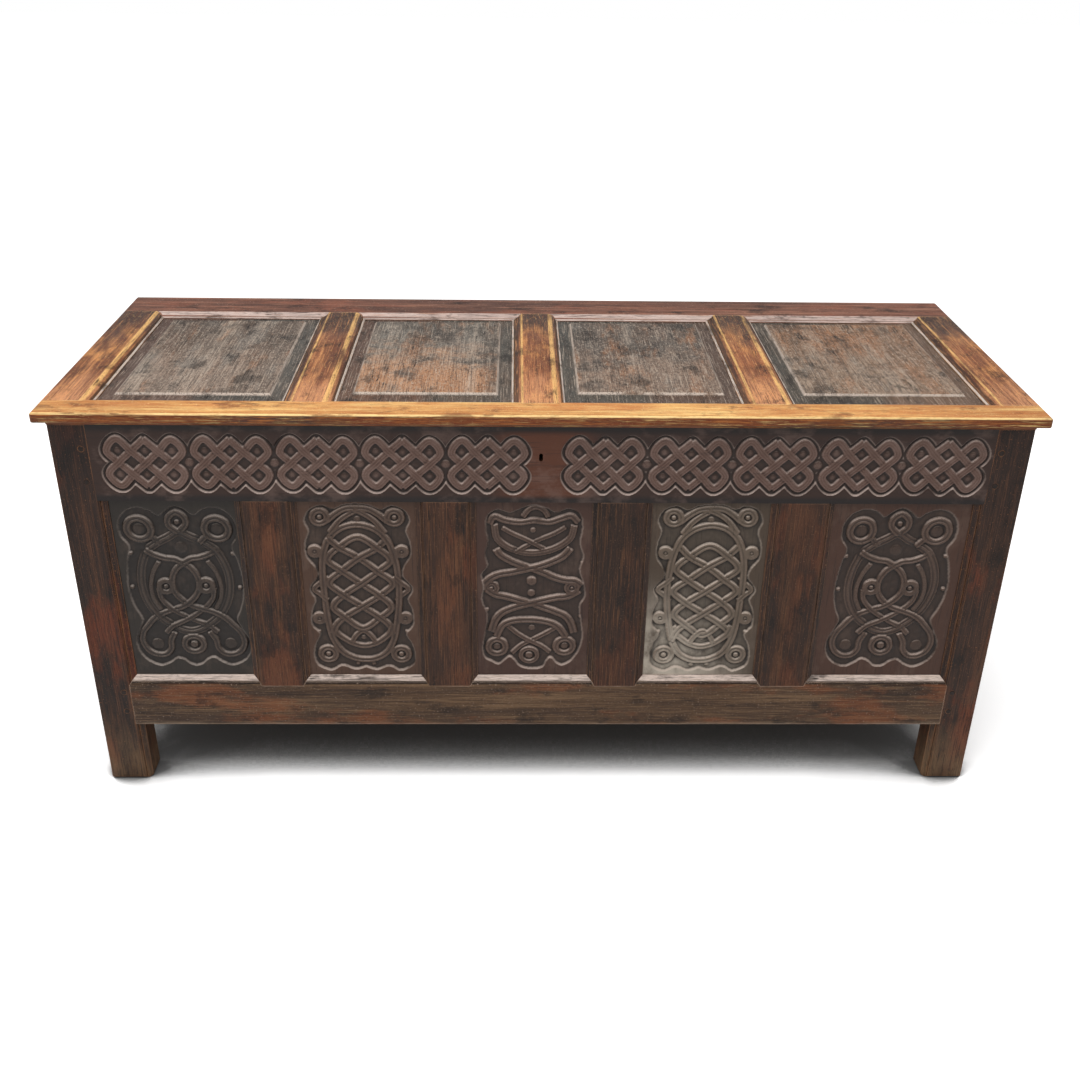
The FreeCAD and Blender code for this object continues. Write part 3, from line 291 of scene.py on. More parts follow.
MUNTIN_SHADE = {"front_muntin_3": 0.55, "front_muntin_4": 0.25}
FOOT_COLOUR = linear((126, 99, 73))
STILE_TOP_SHADOW_COLOUR = linear((34, 22, 18))
SCUFF_COLOUR = linear((136, 118, 98))
FIELD_WARM_COLOUR = linear((168, 112, 70))
FIELD_COOL_COLOUR = linear((122, 116, 108))
IRON_DARK_COLOUR = linear((44, 41, 40))
IRON_LIGHT_COLOUR = linear((66, 60, 56))
IRON_WORN_COLOUR = linear((122, 114, 106))
RUST_COLOUR = linear((98, 58, 36))
FRIEZE_BORDER_COLOUR = linear((48, 32, 26))
KEYHOLE_GLOW_COLOUR = linear((84, 49, 34))
RAIL_SHADE_COLOUR = linear((24, 16, 14))
DUST_COLOUR = linear((208, 196, 180))

# Each lid panel's field, at its front and at its back, greyed there by a painted sheen, and its margins,
# to its left and right, which differ by a painted reflection
LID_PANEL_COLOURS = {
    "lid_panel_1": ((154, 133, 117), (92, 77, 67), (82, 58, 50), (60, 62, 60)),
    "lid_panel_2": ((200, 146, 106), (112, 110, 103), (84, 58, 48), (62, 62, 58)),
    "lid_panel_3": ((146, 121, 103), (78, 74, 70), (62, 64, 60), (78, 57, 47)),
    "lid_panel_4": ((146, 119, 96), (142, 105, 76), (50, 52, 48), (104, 80, 64)),
}

# Each carved panel's straps and its flat border
CARVED_PANEL_COLOURS = {
    "front_panel_1": ((44, 36, 31), (40, 34, 29)),
    "front_panel_2": ((73, 57, 48), (76, 54, 42)),
    "front_panel_3": ((71, 54, 46), (66, 45, 37)),
    "front_panel_4": ((96, 83, 71), (74, 61, 50)),
    "front_panel_5": ((67, 51, 43), (70, 47, 37)),
}

# What a carved panel's other tones keep of its straps' colour, and what is added to them
GROUND_SHARE = 0.76
RIDGE_SHARE = 0.6
RIDGE_BASE = (72, 62, 56)
# A carved panel's tone for wear is also laid on as its painted highlight
WORN_AND_HIGHLIGHT_SHARE = 0.85
WORN_AND_HIGHLIGHT_BASE = (112, 107, 103)
PANEL_STAIN_AND_SHADE = (18, 12, 10)

# Patterns in wood: how often each changes in a metre along the grain and across it, then the
# detail, the roughness and the distortion of its noise
BROAD = (1.6, 6.0, 4.0, 0.6)
BANDS = (2.2, 70.0, 6.0, 0.68, 0.15)
FIBRES = (16.0, 520.0, 4.0, 0.7)
PORES = (90.0, 1500.0, 2.0)
MOTTLE = (14.0, 26.0, 6.0, 0.66)
SPLITS = (1.3, 55.0, 3.0)
GLOW = (5.0, 15.0, 5.0, 0.62)
EDGE_PATCHES = (5.0, 60.0, 4.0)
EDGE_BLOTCHES = (4.0, 16.0, 6.0, 0.66)
FRAME_PATCHES = (6.0, 22.0, 5.0)
MOULDING_PATCHES = (7.0, 60.0, 4.0)
FIELD_PATCHES = (4.0, 14.0, 6.0, 0.66)
FIELD_BANDS = (1.2, 26.0, 4.0, 0.6)
FIELD_SPECKLE = (120.0, 240.0, 4.0, 0.66)
LEDGE_PATCHES = (9.0, 70.0, 4.0)
MUNTIN_PATCHES = (4.0, 14.0, 5.0)
STILE_PATCHES = (6.0, 18.0, 5.0)
CARVED_FIBRES = (14.0, 300.0, 5.0, 0.68)
CARVED_MOTTLE = (16.0, 24.0, 5.0, 0.64)

# Patterns without grain: how often each changes in a metre, its detail and its roughness
CLOUDS = (16.0, 5.0, 0.65)
SPECKS = (330.0, 3.0, 0.7)
FINE_GRAIN = (460.0, 3.0, 0.65)
RUST = (60.0, 5.0, 0.65)
HAMMER_MARKS = (140.0, 3.0)

# Where parts of a board lie: distances under or behind its face, or from its edges
LEDGE_DROP = 3.2 * MM
LEDGE_END = 9.5 * MM
MARGIN_DROP = 7.0 * MM
LID_EDGE_DROP = 18.0 * MM
LIP_DROP = 5.9 * MM
ARRIS_DROP = 1.6 * MM
MOULDING_DROP = 3.0 * MM
MOULDING_WIDTH = 16.0 * MM
BAND_WIDTH = 4.6 * MM
STEP_DROP = 1.2 * MM
SCUFF_HEIGHT = 9.0 * MM

# How far colours reach from a lid panel's middle, the keyhole, the rail's edges and a dusty corner
MARGIN_BLEND = 20.0 * MM
KEYHOLE_GLOW_REACH = 0.1
RAIL_SHADE_REACH = 16.0 * MM
DUST_RADIUS = 0.23
DUST_DEPTH = 8.0 * MM
DUSTY_PANEL = "front_panel_4"

# How far the wear on the lid's frame strays from an even line
WEAR_WANDER = 0.32


# Each zone function lays a board's own colours on, with its painted highlights and painted shade, and
# returns where the board stays clean.
def edge_and_nosing(s, name):
    """The lid's front rail: brown on its edge, a painted highlight on its nosing, pinkish under the edge.
    """
    patches = s.streaks(ALONG_X, 3.0, EDGE_PATCHES)
    blotches = s.streaks(ALONG_X, 8.0, EDGE_BLOTCHES)
    forward = s.forward()
    s.tint(blotches, 0.46, 0.62, 0.75, RUDDY_COLOUR)
    far = s.times(s.between(blotches, 0.46, 0.6), 0.8)
    edge = s.mix(far, EDGE_COLOUR, FRAME_FAR_COLOUR)
    s.cover(edge, s.between(forward, 0.45, 0.85))
    # A painted highlight on the rounded nosing
    rounded = s.times(s.between(forward, 0.12, 0.3), s.between(s.facing_z, 0.35, 0.6))
    s.cover(NOSING_HIGHLIGHT_COLOUR, rounded, s.between(patches, 0.25, 0.45), 0.9)
    under_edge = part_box(name)[1].z - LID_EDGE_DROP
    low = s.between(s.z, under_edge, under_edge - 1.0 * MM)
    s.cover(BAND_COLOUR, low, s.between(patches, 0.4, 0.6), 0.8)
    return s.most(s.most(rounded, low), s.times(s.between(forward, 0.5, 0.9), 0.85))


def worn_to_front(s, name):
    """The lid's end stiles and muntins: golden where hands reach, dark and greyed by a painted sheen
    towards the back.
    """
    low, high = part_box(name)
    depth = high.y - low.y
    patches = s.streaks(ALONG_Y, low.x * SEED_PER_METRE, FRAME_PATCHES)
    wander = s.math("MULTIPLY", s.math("SUBTRACT", patches, 0.5), WEAR_WANDER)
    shifted = s.math("ADD", s.y, wander)
    worn_to = low.y + 0.4 * depth
    s.tint(shifted, worn_to, low.y, 0.75, FRAME_FRONT_COLOUR)
    # Greyer towards the back: a darker tone with a painted sheen
    s.tint(shifted, worn_to, high.y, 0.85, FRAME_BACK_AND_SHEEN_COLOUR)
    s.tint(patches, 0.54, 0.66, 0.7, FRAME_BLOTCH_COLOUR)
    far_end = s.times(s.between(shifted, high.y - 0.34 * depth, high.y - 0.15 * depth), 0.88)
    s.cover(FRAME_FAR_COLOUR, far_end)
    # A painted highlight along the arris by the moulding
    arris_highlight = s.times(by_moulding(s, name), s.between(patches, 0.7, 0.46), 0.85)
    s.cover(ARRIS_HIGHLIGHT_COLOUR, arris_highlight)
    # Painted shade on the moulding's steep face
    moulding = s.between(s.z, high.z - MOULDING_DROP, high.z - 1.5 * MOULDING_DROP)
    moulding = s.times(moulding, s.between(s.facing_z, 0.04, 0.2), 0.85)
    s.cover(MOULDING_SHADE_COLOUR, moulding)
    # A painted highlight on the lip
    lip = lip_of(s, high.z)
    s.cover(LIP_HIGHLIGHT_COLOUR, lip)
    return s.most(lip, moulding)


def by_moulding(s, name):
    """1 on a lid board's flat, in the narrow band that borders its moulding."""
    low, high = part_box(name)
    from_left = s.math("SUBTRACT", s.x, low.x)
    from_right = s.math("SUBTRACT", high.x, s.x)
    inset = s.math("MINIMUM", from_left, from_right)
    if name == "lid_left_stile":
        inset = from_right
    if name == "lid_right_stile":
        inset = from_left
    band = s.between(inset, MOULDING_WIDTH + BAND_WIDTH, MOULDING_WIDTH + 0.5 * BAND_WIDTH)
    return s.times(band, s.between(s.z, high.z - ARRIS_DROP, high.z - 0.3 * ARRIS_DROP))


def lip_of(s, face_z):
    """1 on the sloped lip that ends the lid frame's moulding, next to a panel."""
    sunk = s.between(s.z, face_z - LIP_DROP, face_z - LIP_DROP - 0.4 * MM)
    return s.times(sunk, s.between(s.facing_z, 0.5, 0.8), s.between(s.facing_z, 0.98, 0.92))


def pale_back_moulding(s, name):
    """The lid's back rail: its moulding faces the light and carries a painted highlight; its lip is kept
    clean.
    """
    face_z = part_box(name)[1].z
    patches = s.streaks(ALONG_X, 4.0, MOULDING_PATCHES)
    forward = s.between(s.forward(), 0.15, 0.35)
    # A painted highlight on the moulding's slope that faces up and forward
    slope_highlight = s.times(forward, s.between(s.facing_z, 0.4, 0.6), s.between(patches, 0.26, 0.42))
    s.cover(BACK_MOULDING_HIGHLIGHT_COLOUR, slope_highlight)
    return s.most(slope_highlight, lip_of(s, face_z))


def field_and_margins(s, name):
    """A lid panel: its field, the dark margins round it and the chamfer between, which carries a painted
    highlight.
    """
    low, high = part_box(name)
    depth = high.y - low.y
    at_front, at_back_and_sheen, left, right = map(linear, LID_PANEL_COLOURS[name])
    patches = s.streaks(ALONG_Y, low.x * SEED_PER_METRE, FIELD_PATCHES)
    bands = s.streaks(ALONG_Y, low.x * 5.0, FIELD_BANDS)
    speckle = s.streaks(ALONG_Y, low.x, FIELD_SPECKLE)
    cloud = s.speckle(CLOUDS)
    wander = s.math("ADD", s.math("MULTIPLY", patches, 0.4), s.math("MULTIPLY", cloud, 0.5))
    shifted = s.math("ADD", s.y, s.math("SUBTRACT", wander, 0.45))
    # The field turns from its front colour to its back one, whose grey is a painted sheen
    tint = s.mix(s.between(shifted, low.y + 0.25 * depth, low.y + 0.65 * depth), at_front, at_back_and_sheen)
    s.cover(tint, 0.72)
    s.tint(bands, 0.52, 0.66, 0.5, FIELD_TONES.light)
    s.tint(bands, 0.46, 0.36, 0.5, FIELD_TONES.dark)
    s.tint(patches, 0.5, 0.64, 0.6, FIELD_WARM_COLOUR)
    s.tint(patches, 0.46, 0.34, 0.65, FIELD_COOL_COLOUR)
    s.tint(speckle, 0.53, 0.66, 0.65, FIELD_TONES.light)
    s.tint(speckle, 0.46, 0.34, 0.6, FIELD_TONES.stain_and_shade)
    far = s.between(s.y, low.y + 0.45 * depth, high.y)
    cloudy = s.math("ADD", cloud, s.math("MULTIPLY", far, 0.07))
    s.tint(cloudy, 0.54, 0.68, 0.6, FIELD_TONES.stain_and_shade)
    sloped = s.between(s.facing_z, 0.93, 0.8)
    # A painted highlight on the chamfer round the field, brighter where it faces the front
    rim_highlight = s.mix(s.between(s.forward(), 0.3, 0.6), CHAMFER_SIDE_HIGHLIGHT_COLOUR, CHAMFER_HIGHLIGHT_COLOUR)
    s.cover(rim_highlight, sloped, s.between(cloud, 0.3, 0.45))
    middle = (low.x + high.x) / 2.0
    # The margins' colours, whose change from left to right is a painted reflection on their slopes
    side = s.mix(s.between(s.x, middle - MARGIN_BLEND, middle + MARGIN_BLEND), left, right)
    margin_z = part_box("lid_front_rail")[1].z - MARGIN_DROP
    s.tint(s.z, margin_z, margin_z - 2.0 * MM, 0.85, side)
    return sloped


def bright_ledge(s, name):
    """The bottom rail: pale wax with a painted highlight on its moulding under the panels, scuffed along
    its lower edge.
    """
    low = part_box(name)[0]
    face = low.y
    patches = s.streaks(ALONG_X, 5.0, LEDGE_PATCHES)
    sunk = s.between(s.y, face + LEDGE_DROP, face + LEDGE_DROP + 0.5 * MM)
    sunk = s.times(sunk, s.between(s.y, face + LEDGE_END, face + LEDGE_END - 1.0 * MM))
    # Pale wax with a painted highlight on the moulding's slope under the panels
    ledge_wax_and_highlight = s.times(sunk, s.between(s.facing_z, 0.2, 0.34), s.between(patches, 0.22, 0.4))
    step = face + STEP_DROP
    # Painted shade on the faces that lie behind the rail's front step
    s.tint(s.y, step, step + 0.4 * MM, 0.9, RAIL_TONES.stain_and_shade)
    scuffed = s.times(s.between(s.z, low.z + SCUFF_HEIGHT, low.z), s.between(patches, 0.4, 0.6), 0.7)
    s.cover(SCUFF_COLOUR, scuffed)
    s.cover(LEDGE_WAX_AND_HIGHLIGHT_COLOUR, ledge_wax_and_highlight)
    return ledge_wax_and_highlight


def rubbed_middle(s, name):
    """A muntin of the front: reddish along its middle, dark by its edges."""
    low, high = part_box(name)
    half = (high.x - low.x) / 2.0
    patches = s.streaks(ALONG_Z, low.x * SEED_PER_METRE, MUNTIN_PATCHES)
    away = s.math("ABSOLUTE", s.math("SUBTRACT", s.x, (low.x + high.x) / 2.0))
    glow = s.times(s.between(away, 0.75 * half, 0.1 * half), s.between(patches, 0.42, 0.62), 0.6)
    s.cover(MUNTIN_GLOW_COLOUR, glow)
    s.tint(away, 0.6 * half, half, 0.45, CASE_TONES.dark)
    s.cover(CASE_TONES.dark, MUNTIN_SHADE.get(name, 0.0))
    return 0.0


def foot_and_top(s, name):
    """A corner stile of the front: a painted shadow under the lid, dusty and scuffed at its foot."""
    low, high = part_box(name)
    height = high.z - low.z
    patches = s.streaks(ALONG_Z, low.x * SEED_PER_METRE, STILE_PATCHES)
    # A painted shadow under the lid, darkening the stile towards its top
    s.tint(s.z, low.z + 0.55 * height, high.z, 0.8, STILE_TOP_SHADOW_COLOUR)
    foot = s.times(s.between(s.z, low.z + 0.22 * height, low.z), s.between(patches, 0.3, 0.6), 0.8)
    s.cover(FOOT_COLOUR, foot)
    return 0.0


def dry_underside(s, fibres):
    """The lid's underside was never waxed."""
    dry = s.mix(s.between(fibres, 0.36, 0.62), DRY_TONES.dark, DRY_TONES.middle)
    s.tint(s.facing_z, -0.3, -0.7, 0.85, dry)


# How a board is coloured, by how its name starts: its tones, and its zones if it has any.
# The first line that fits a board's name is the one for it.
BOARDS = (
    ("lid_front_rail", LID_FRONT_TONES, edge_and_nosing),
    ("lid_back_rail", LID_BACK_TONES, pale_back_moulding),
    ("lid_panel", FIELD_TONES, field_and_margins),
    ("lid_", LID_FRAME_TONES, worn_to_front),
    ("front_bottom_rail", RAIL_TONES, bright_ledge),
    ("front_muntin", CASE_TONES, rubbed_middle),
    ("front_left_stile", STILE_TONES, foot_and_top),
    ("front_right_stile", STILE_TONES, foot_and_top),
    ("floor_boards", DRY_TONES, None),
    ("joint_pegs", PEG_TONES, None),
    ("", CASE_TONES, None),
)


def grain_of(name):
    """A board's grain runs along its longest side, but a panel's runs as it was cut."""
    if name.startswith("lid_panel"):
        return ALONG_Y
    if "panel" in name:
        return ALONG_Z
    low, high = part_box(name)
    sides = high - low
    return max(range(3), key=lambda axis: sides[axis])


def oak(name, seed):
    """Old waxed oak for one board, with its grain along one axis."""
    s = Shader("oak_" + name)
    tones, zone = next(board[1:] for board in BOARDS if name.startswith(board[0]))
    grain = grain_of(name)
    broad = s.streaks(grain, seed, BROAD)
    bands = s.streaks(grain, seed, BANDS)
    fibres = s.streaks(grain, seed, FIBRES)
    pores = s.streaks(grain, seed, PORES)
    mottle = s.streaks(grain, seed + 7.0, MOTTLE)
    lines = s.streaks(grain, seed + 5.0, SPLITS)
    glow = s.streaks(grain, seed + 11.0, GLOW)
    specks = s.speckle(SPECKS)

    s.colour = s.mix(s.between(broad, 0.34, 0.66), tones.dark, tones.middle)
    s.tint(bands, 0.5, 0.66, 0.7, tones.light)
    s.tint(bands, 0.47, 0.35, 0.75, tones.dark)
    s.tint(glow, 0.5, 0.62, 0.6, tones.warm)
    clean = zone(s, name) if zone else 0.0
    s.tint(fibres, 0.5, 0.36, 0.75, tones.dark)
    s.tint(fibres, 0.53, 0.66, 0.6, tones.light)
    s.tint(pores, 0.45, 0.3, 0.6, tones.stain_and_shade)
    s.tint(mottle, 0.53, 0.66, 0.65, tones.stain_and_shade)
    dirty = s.math("SUBTRACT", 1.0, clean)
    s.cover(tones.worn_and_highlight, s.between(specks, 0.6, 0.7), dirty, 0.7)
    split = s.between(s.math("ABSOLUTE", s.math("SUBTRACT", lines, 0.5)), 0.006, 0.002)
    s.cover(tones.stain_and_shade, split, s.between(mottle, 0.5, 0.56), 0.85)
    rubbed = s.times(s.arris(WORN_REACH), s.between(mottle, 0.32, 0.6), dirty, 0.85)
    s.cover(tones.worn_and_highlight, rubbed)
    if name.startswith("lid_"):
        dry_underside(s, fibres)
    # Grime with painted shade: darker in corners that other faces close in
    grime_and_shade = s.times(s.between(s.hollow(GRIME_AND_SHADE_REACH), 0.3, 0.85), dirty, 0.85)
    s.cover(tones.stain_and_shade, grime_and_shade)

    normal = s.bump(mottle, 0.8 * MM)
    normal = s.bump(fibres, 0.3 * MM, normal)
    normal = s.bump(split, -0.5 * MM, normal)
    return s.finish(s.spread(mottle, 0.40, 0.66), normal, coat=0.03)


def iron():
    """Blackened wrought iron, with rust in patches."""
    s = Shader("wrought_iron")
    patches = s.speckle(RUST)
    s.colour = s.mix(s.between(patches, 0.35, 0.65), IRON_DARK_COLOUR, IRON_LIGHT_COLOUR)
    s.tint(patches, 0.58, 0.72, 0.7, RUST_COLOUR)
    s.cover(IRON_WORN_COLOUR, s.arris(IRON_WORN_REACH), 0.6)
    normal = s.bump(s.speckle(HAMMER_MARKS), 0.5 * MM)
    return s.finish(s.spread(patches, 0.42, 0.78), normal, metallic=0.35)


def dress(name, material, arris):
    """Gives a CAD node its material and soft arrises."""
    node = frame["nodes"][name]
    node.data.materials.clear()
    node.data.materials.append(material)
    weld = node.modifiers.new("weld", "WELD")
    weld.merge_threshold = WELD_REACH
    flats = node.modifiers.new("flats", "DECIMATE")
    flats.decimate_type = "DISSOLVE"
    flats.angle_limit = FLAT_ANGLE
    rounding = node.modifiers.new("rounding", "BEVEL")
    rounding.width = arris
    rounding.segments = 2
    rounding.limit_method = "ANGLE"
    rounding.angle_limit = ARRIS_ANGLE
    rounding.harden_normals = True


# Carving, in millimetres on a carved face: how deep its ground lies and how far from the straps
GROUND_DEPTH = 4.2
GROUND_MARGIN = 5.0
MARGIN_SLOPE = 2.4

# A strap's section, its grooves, and how it dips where it passes under another
STRAP_EDGE = 1.9
STRAP_CROWN = 0.4
BOSS_CROWN = 0.9
GROOVE_DEPTH = 1.7
GROOVE_WIDTH = 1.5
UNDER_DIP = 1.9
UNDER_LENGTH = 7.5
SHALLOWEST_CROSSING = 0.2

# How closely lines are followed and faces are divided
SLICE_STEP = 0.8
SLICE_HALF_LENGTH = 1.3
RING_POINTS = 8
OUTLINE_STRIDE = 4
PANEL_GRID = 1.2
FRIEZE_GRID = 1.42
WINDOW_SPARE = 3.0
FAR = 1000.0

# How deep the tool marks go, and the share of the ground's depth that they start at
MARK_DEPTH = 0.9
MARKS_FROM = 0.7

# Radii of the blurs in grid steps, and how many radii a blur reaches
MARK_RADIUS = 2
OUTLINE_SOFTNESS = 0.8
FACE_SOFTNESS = 0.55
WEAR_RADIUS = 3
BLUR_REACH = 2.5

# A point this far below or above what surrounds it counts as a full hollow or a full ridge
HOLLOW_DEPTH = 1.6
RIDGE_HEIGHT = 1.2

# How far a line cut by eye strays, and the waves in which it does, in x and in z: the axis that
# each wave runs along, its length for one radian, and its phase for each seed
HAND_ERROR = 0.8
HAND_WAVES = (((1, 27.0, 1.7), (0, 33.0, 2.9)), ((0, 23.0, 2.3), (1, 31.0, 1.1)))

# The frieze: a run of five knots on each side of the keyhole, each run with its start and pitch
KNOT_COLUMN = 42.0
KNOT_ROW = 40.0
KNOT_SIDE_REACH = 17.0
FRIEZE_MIDDLE_UNDER_TOP = 66.0
FRIEZE_STRAP = 6.2
FRIEZE_RUNS = ((-635.0, 136.0), (96.0, 137.5))
KNOTS_IN_RUN = 5
KNOT_BOSS = 6.6
KNOT_BOSS_LOW = 2.7
KNOT_FILL = 0.5 * KNOT_BOSS
KNOT_FILL_LOW = 0.9 * GROUND_DEPTH
PELLET = 8.0
PELLET_LOW = 2.2
KEYHOLE_WIDTH = 6.0
KEYHOLE_LENGTH = 14.0
KEYHOLE_X = -6.0
KEYHOLE_UNDER_TOP = 52.5

# Seeds of the carved boards' patterns, and of the frieze's carving
PANEL_SEED = 60.0
FRIEZE_SEED = 70.0
FRIEZE_HAND_SEED = 11

# One knot's strap, in columns and rows of its bosses. It closes on itself.
KNOT = (
    (-1, 0), (-.5, .5), (0, 1), (0, 1), (.5, .5), (1, 0), (1.5, -.5), (1, -1), (.5, -.5), (0, 0),
    (-.5, .5), (-1, 1), (-1.5, .5), (-1, 0), (-.5, -.5), (0, -1), (0, -1), (.5, -.5), (1, 0),
    (1.5, .5), (1, 1), (.5, .5), (0, 0), (-.5, -.5), (-1, -1), (-1.5, -.5),
)


def smooth_line(points, closed):
    """Points close together along a smooth curve through the given ones."""
    p = np.array(points, float)
    before = np.roll(p, 1, 0) if closed else np.vstack([p[:1], p[:-1]])
    after = np.roll(p, -1, 0) if closed else np.vstack([p[1:], p[-1:]])
    beyond = np.roll(p, -2, 0) if closed else np.vstack([p[2:], p[-1:], p[-1:]])
    line = []
    for i in range(len(p) if closed else len(p) - 1):
        a, b, c, d = before[i], p[i], after[i], beyond[i]
        steps = max(int(np.linalg.norm(c - b) / SLICE_STEP), 1)
        for t in np.arange(steps) / steps:
            line.append(0.5 * (2 * b + (c - a) * t + (2 * a - 5 * b + 4 * c - d) * t ** 2
                               + (3 * b - a - 3 * c + d) * t ** 3))
    if not closed:
        line.append(p[-1])
    return np.array(line)


def mirrored(points):
    return [(-x, z) for x, z in points]


def ring(x, z, radius):
    """A few points round a circle."""
    turns = [math.radians(360.0 * i / RING_POINTS) for i in range(RING_POINTS)]
    return [(x + radius * math.cos(t), z + radius * math.sin(t)) for t in turns]


def step_down(distance, start, length):
    """1 up to start, 0 from start + length on, smooth between."""
    t = np.clip((distance - start) / length, 0.0, 1.0)
    return 1.0 - t * t * (3.0 - 2.0 * t)


class Strap:
    """One strap of a design: a line through points, with its half width and its grooves."""

    def __init__(self, points, half_width, closed=False, grooves=(0.0,), low=0.0):
        self.line = smooth_line(points, closed)
        self.half_width = half_width
        self.grooves = grooves
        self.sink = np.full(len(self.line), low)
        steps = np.linalg.norm(np.diff(self.line, axis=0), axis=1)
        self.along = np.concatenate([[0.0], np.cumsum(steps)])

    def section(self, across):
        height = -GROUND_DEPTH * (1.0 - step_down(across, self.half_width - STRAP_EDGE / 2, STRAP_EDGE))
        height -= STRAP_CROWN * (across / self.half_width) ** 2
        for groove in self.grooves:
            offset = across - groove * self.half_width
            height -= GROOVE_DEPTH * np.exp(-(offset / GROOVE_WIDTH) ** 2)
        return height

    def pass_under(self, place):
        self.sink += UNDER_DIP * np.exp(-((self.along - place) / UNDER_LENGTH) ** 2)


def crossings(first, second):
    """Places along two straps where their lines cross."""
    stride = 3
    a = first.line[::stride]
    b = second.line[::stride]
    da = np.diff(a, axis=0)[:, None, :]
    db = np.diff(b, axis=0)[None, :, :]
    gap = b[None, :-1, :] - a[:-1, None, :]
    turn = da[..., 0] * db[..., 1] - da[..., 1] * db[..., 0]
    lengths = np.linalg.norm(da, axis=-1) * np.linalg.norm(db, axis=-1)
    crossed = np.abs(turn) > SHALLOWEST_CROSSING * lengths
    turn = np.where(crossed, turn, 1.0)
    t = (gap[..., 0] * db[..., 1] - gap[..., 1] * db[..., 0]) / turn
    s = (gap[..., 0] * da[..., 1] - gap[..., 1] * da[..., 0]) / turn
    met = crossed & (t >= 0) & (t < 1) & (s >= 0) & (s < 1)
    found = []
    for i, j in np.argwhere(met):
        if first is second and j <= i + 2:
            continue
        found.append((first.along[i * stride], second.along[j * stride]))
    return found


def weave(straps):
    """Lets the straps pass over and under each other by turns."""
    visits = [[] for _ in straps]
    number = 0
    for i, first in enumerate(straps):
        for j in range(i, len(straps)):
            for place, other_place in crossings(first, straps[j]):
                visits[i].append((place, number))
                visits[j].append((other_place, number))
                number += 1
    went_over = {}
    for strap, stops in zip(straps, visits):
        over = True
        for place, crossing in sorted(stops):
            if crossing in went_over:
                over = not went_over[crossing]
            else:
                went_over[crossing] = over
            if not over:
                strap.pass_under(place)
            over = not over


class Relief:
    """Heights of a carved face over its flat, on a grid across it, in millimetres."""

    def __init__(self, x0, x1, z0, z1, step):
        self.columns = np.linspace(x0, x1, int(round((x1 - x0) / step)) + 1)
        self.rows = np.linspace(z0, z1, int(round((z1 - z0) / step)) + 1)
        self.height = np.full((len(self.rows), len(self.columns)), -GROUND_DEPTH)
        self.near = np.full(self.height.shape, FAR)

    def window(self, x, z, reach):
        """The part of the grid round a point, and the offsets of its points from it."""
        c0, c1 = np.searchsorted(self.columns, (x - reach, x + reach))
        r0, r1 = np.searchsorted(self.rows, (z - reach, z + reach))
        part = (slice(r0, r1), slice(c0, c1))
        return part, self.columns[c0:c1][None, :] - x, self.rows[r0:r1][:, None] - z

    def lay(self, strap):
        heading = np.gradient(strap.line, axis=0)
        heading /= np.maximum(np.linalg.norm(heading, axis=1), 1e-9)[:, None]
        reach = strap.half_width + GROUND_MARGIN + WINDOW_SPARE
        for (x, z), (tx, tz), sink in zip(strap.line, heading, strap.sink):
            part, dx, dz = self.window(x, z, reach)
            across = np.abs(dz * tx - dx * tz)
            in_slice = np.abs(dx * tx + dz * tz) < SLICE_HALF_LENGTH
            made = np.where(in_slice, strap.section(across) - sink, -FAR)
            self.height[part] = np.maximum(self.height[part], made)
            self.near[part] = np.minimum(self.near[part], np.hypot(dx, dz) - strap.half_width)

    def boss(self, x, z, radius, low):
        part, dx, dz = self.window(x, z, radius + GROUND_MARGIN + WINDOW_SPARE)
        away = np.hypot(dx, dz)
        raised = step_down(away, radius - STRAP_EDGE / 2, STRAP_EDGE)
        made = -GROUND_DEPTH + (GROUND_DEPTH - low) * raised - BOSS_CROWN * (away / radius) ** 2
        self.height[part] = np.maximum(self.height[part], made)
        self.near[part] = np.minimum(self.near[part], away - radius)

    def carve(self, outline, straps, bosses):
        weave(straps)
        for strap in straps:
            self.lay(strap)
        for boss in bosses:
            self.boss(*boss)
        if outline is None:
            self.sunk = step_down(self.near, GROUND_MARGIN - MARGIN_SLOPE / 2, MARGIN_SLOPE)
        else:
            self.sunk = blurred(self.inside(outline), OUTLINE_SOFTNESS)

    def inside(self, outline):
        """1 on the grid's points within a closed line, 0 elsewhere."""
        x, z = np.meshgrid(self.columns, self.rows)
        within = np.zeros(x.shape, bool)
        for (x0, z0), (x1, z1) in zip(outline, np.roll(outline, -1, 0)):
            if z0 == z1:
                continue
            spans = (z0 > z) != (z1 > z)
            within ^= spans & (x < x0 + (z - z0) * (x1 - x0) / (z1 - z0))
        return within.astype(float)

    def finished(self, seed):
        """Heights with the ground cut inside the outline, and with tool marks and wear."""
        marks = blurred(np.random.default_rng(seed).normal(size=self.height.shape), MARK_RADIUS)
        on_ground = self.height < -MARKS_FROM * GROUND_DEPTH
        return blurred(self.sunk * (self.height + MARK_DEPTH * marks * on_ground), FACE_SOFTNESS)


def blurred(field, radius):
    """The field spread out by about the radius, in grid steps."""
    reach = int(math.ceil(radius * BLUR_REACH))
    kernel = np.exp(-0.5 * (np.arange(-reach, reach + 1) / radius) ** 2)
    kernel /= kernel.sum()
    for axis in (0, 1):
        pads = [(reach, reach) if a == axis else (0, 0) for a in (0, 1)]
        padded = np.pad(field, pads, mode="edge")
        field = np.apply_along_axis(lambda line: np.convolve(line, kernel, "valid"), axis, padded)
    return field


def closed_by_mirror(half):
    """A closed line from its right half, which runs from the axis at the top to the axis below."""
    return half + mirrored(half[-2:0:-1])


def bow(half):
    """An open line across the axis, from its right half, which starts on the axis."""
    return mirrored(half[:0:-1]) + half


def both_sides(make):
    """The straps that make gives for the right side, and the same mirrored."""
    return make(lambda points: points) + make(mirrored)


def in_pairs(bosses):
    """The bosses of the right side, and the same mirrored."""
    return bosses + [(-x, *rest) for x, *rest in bosses]


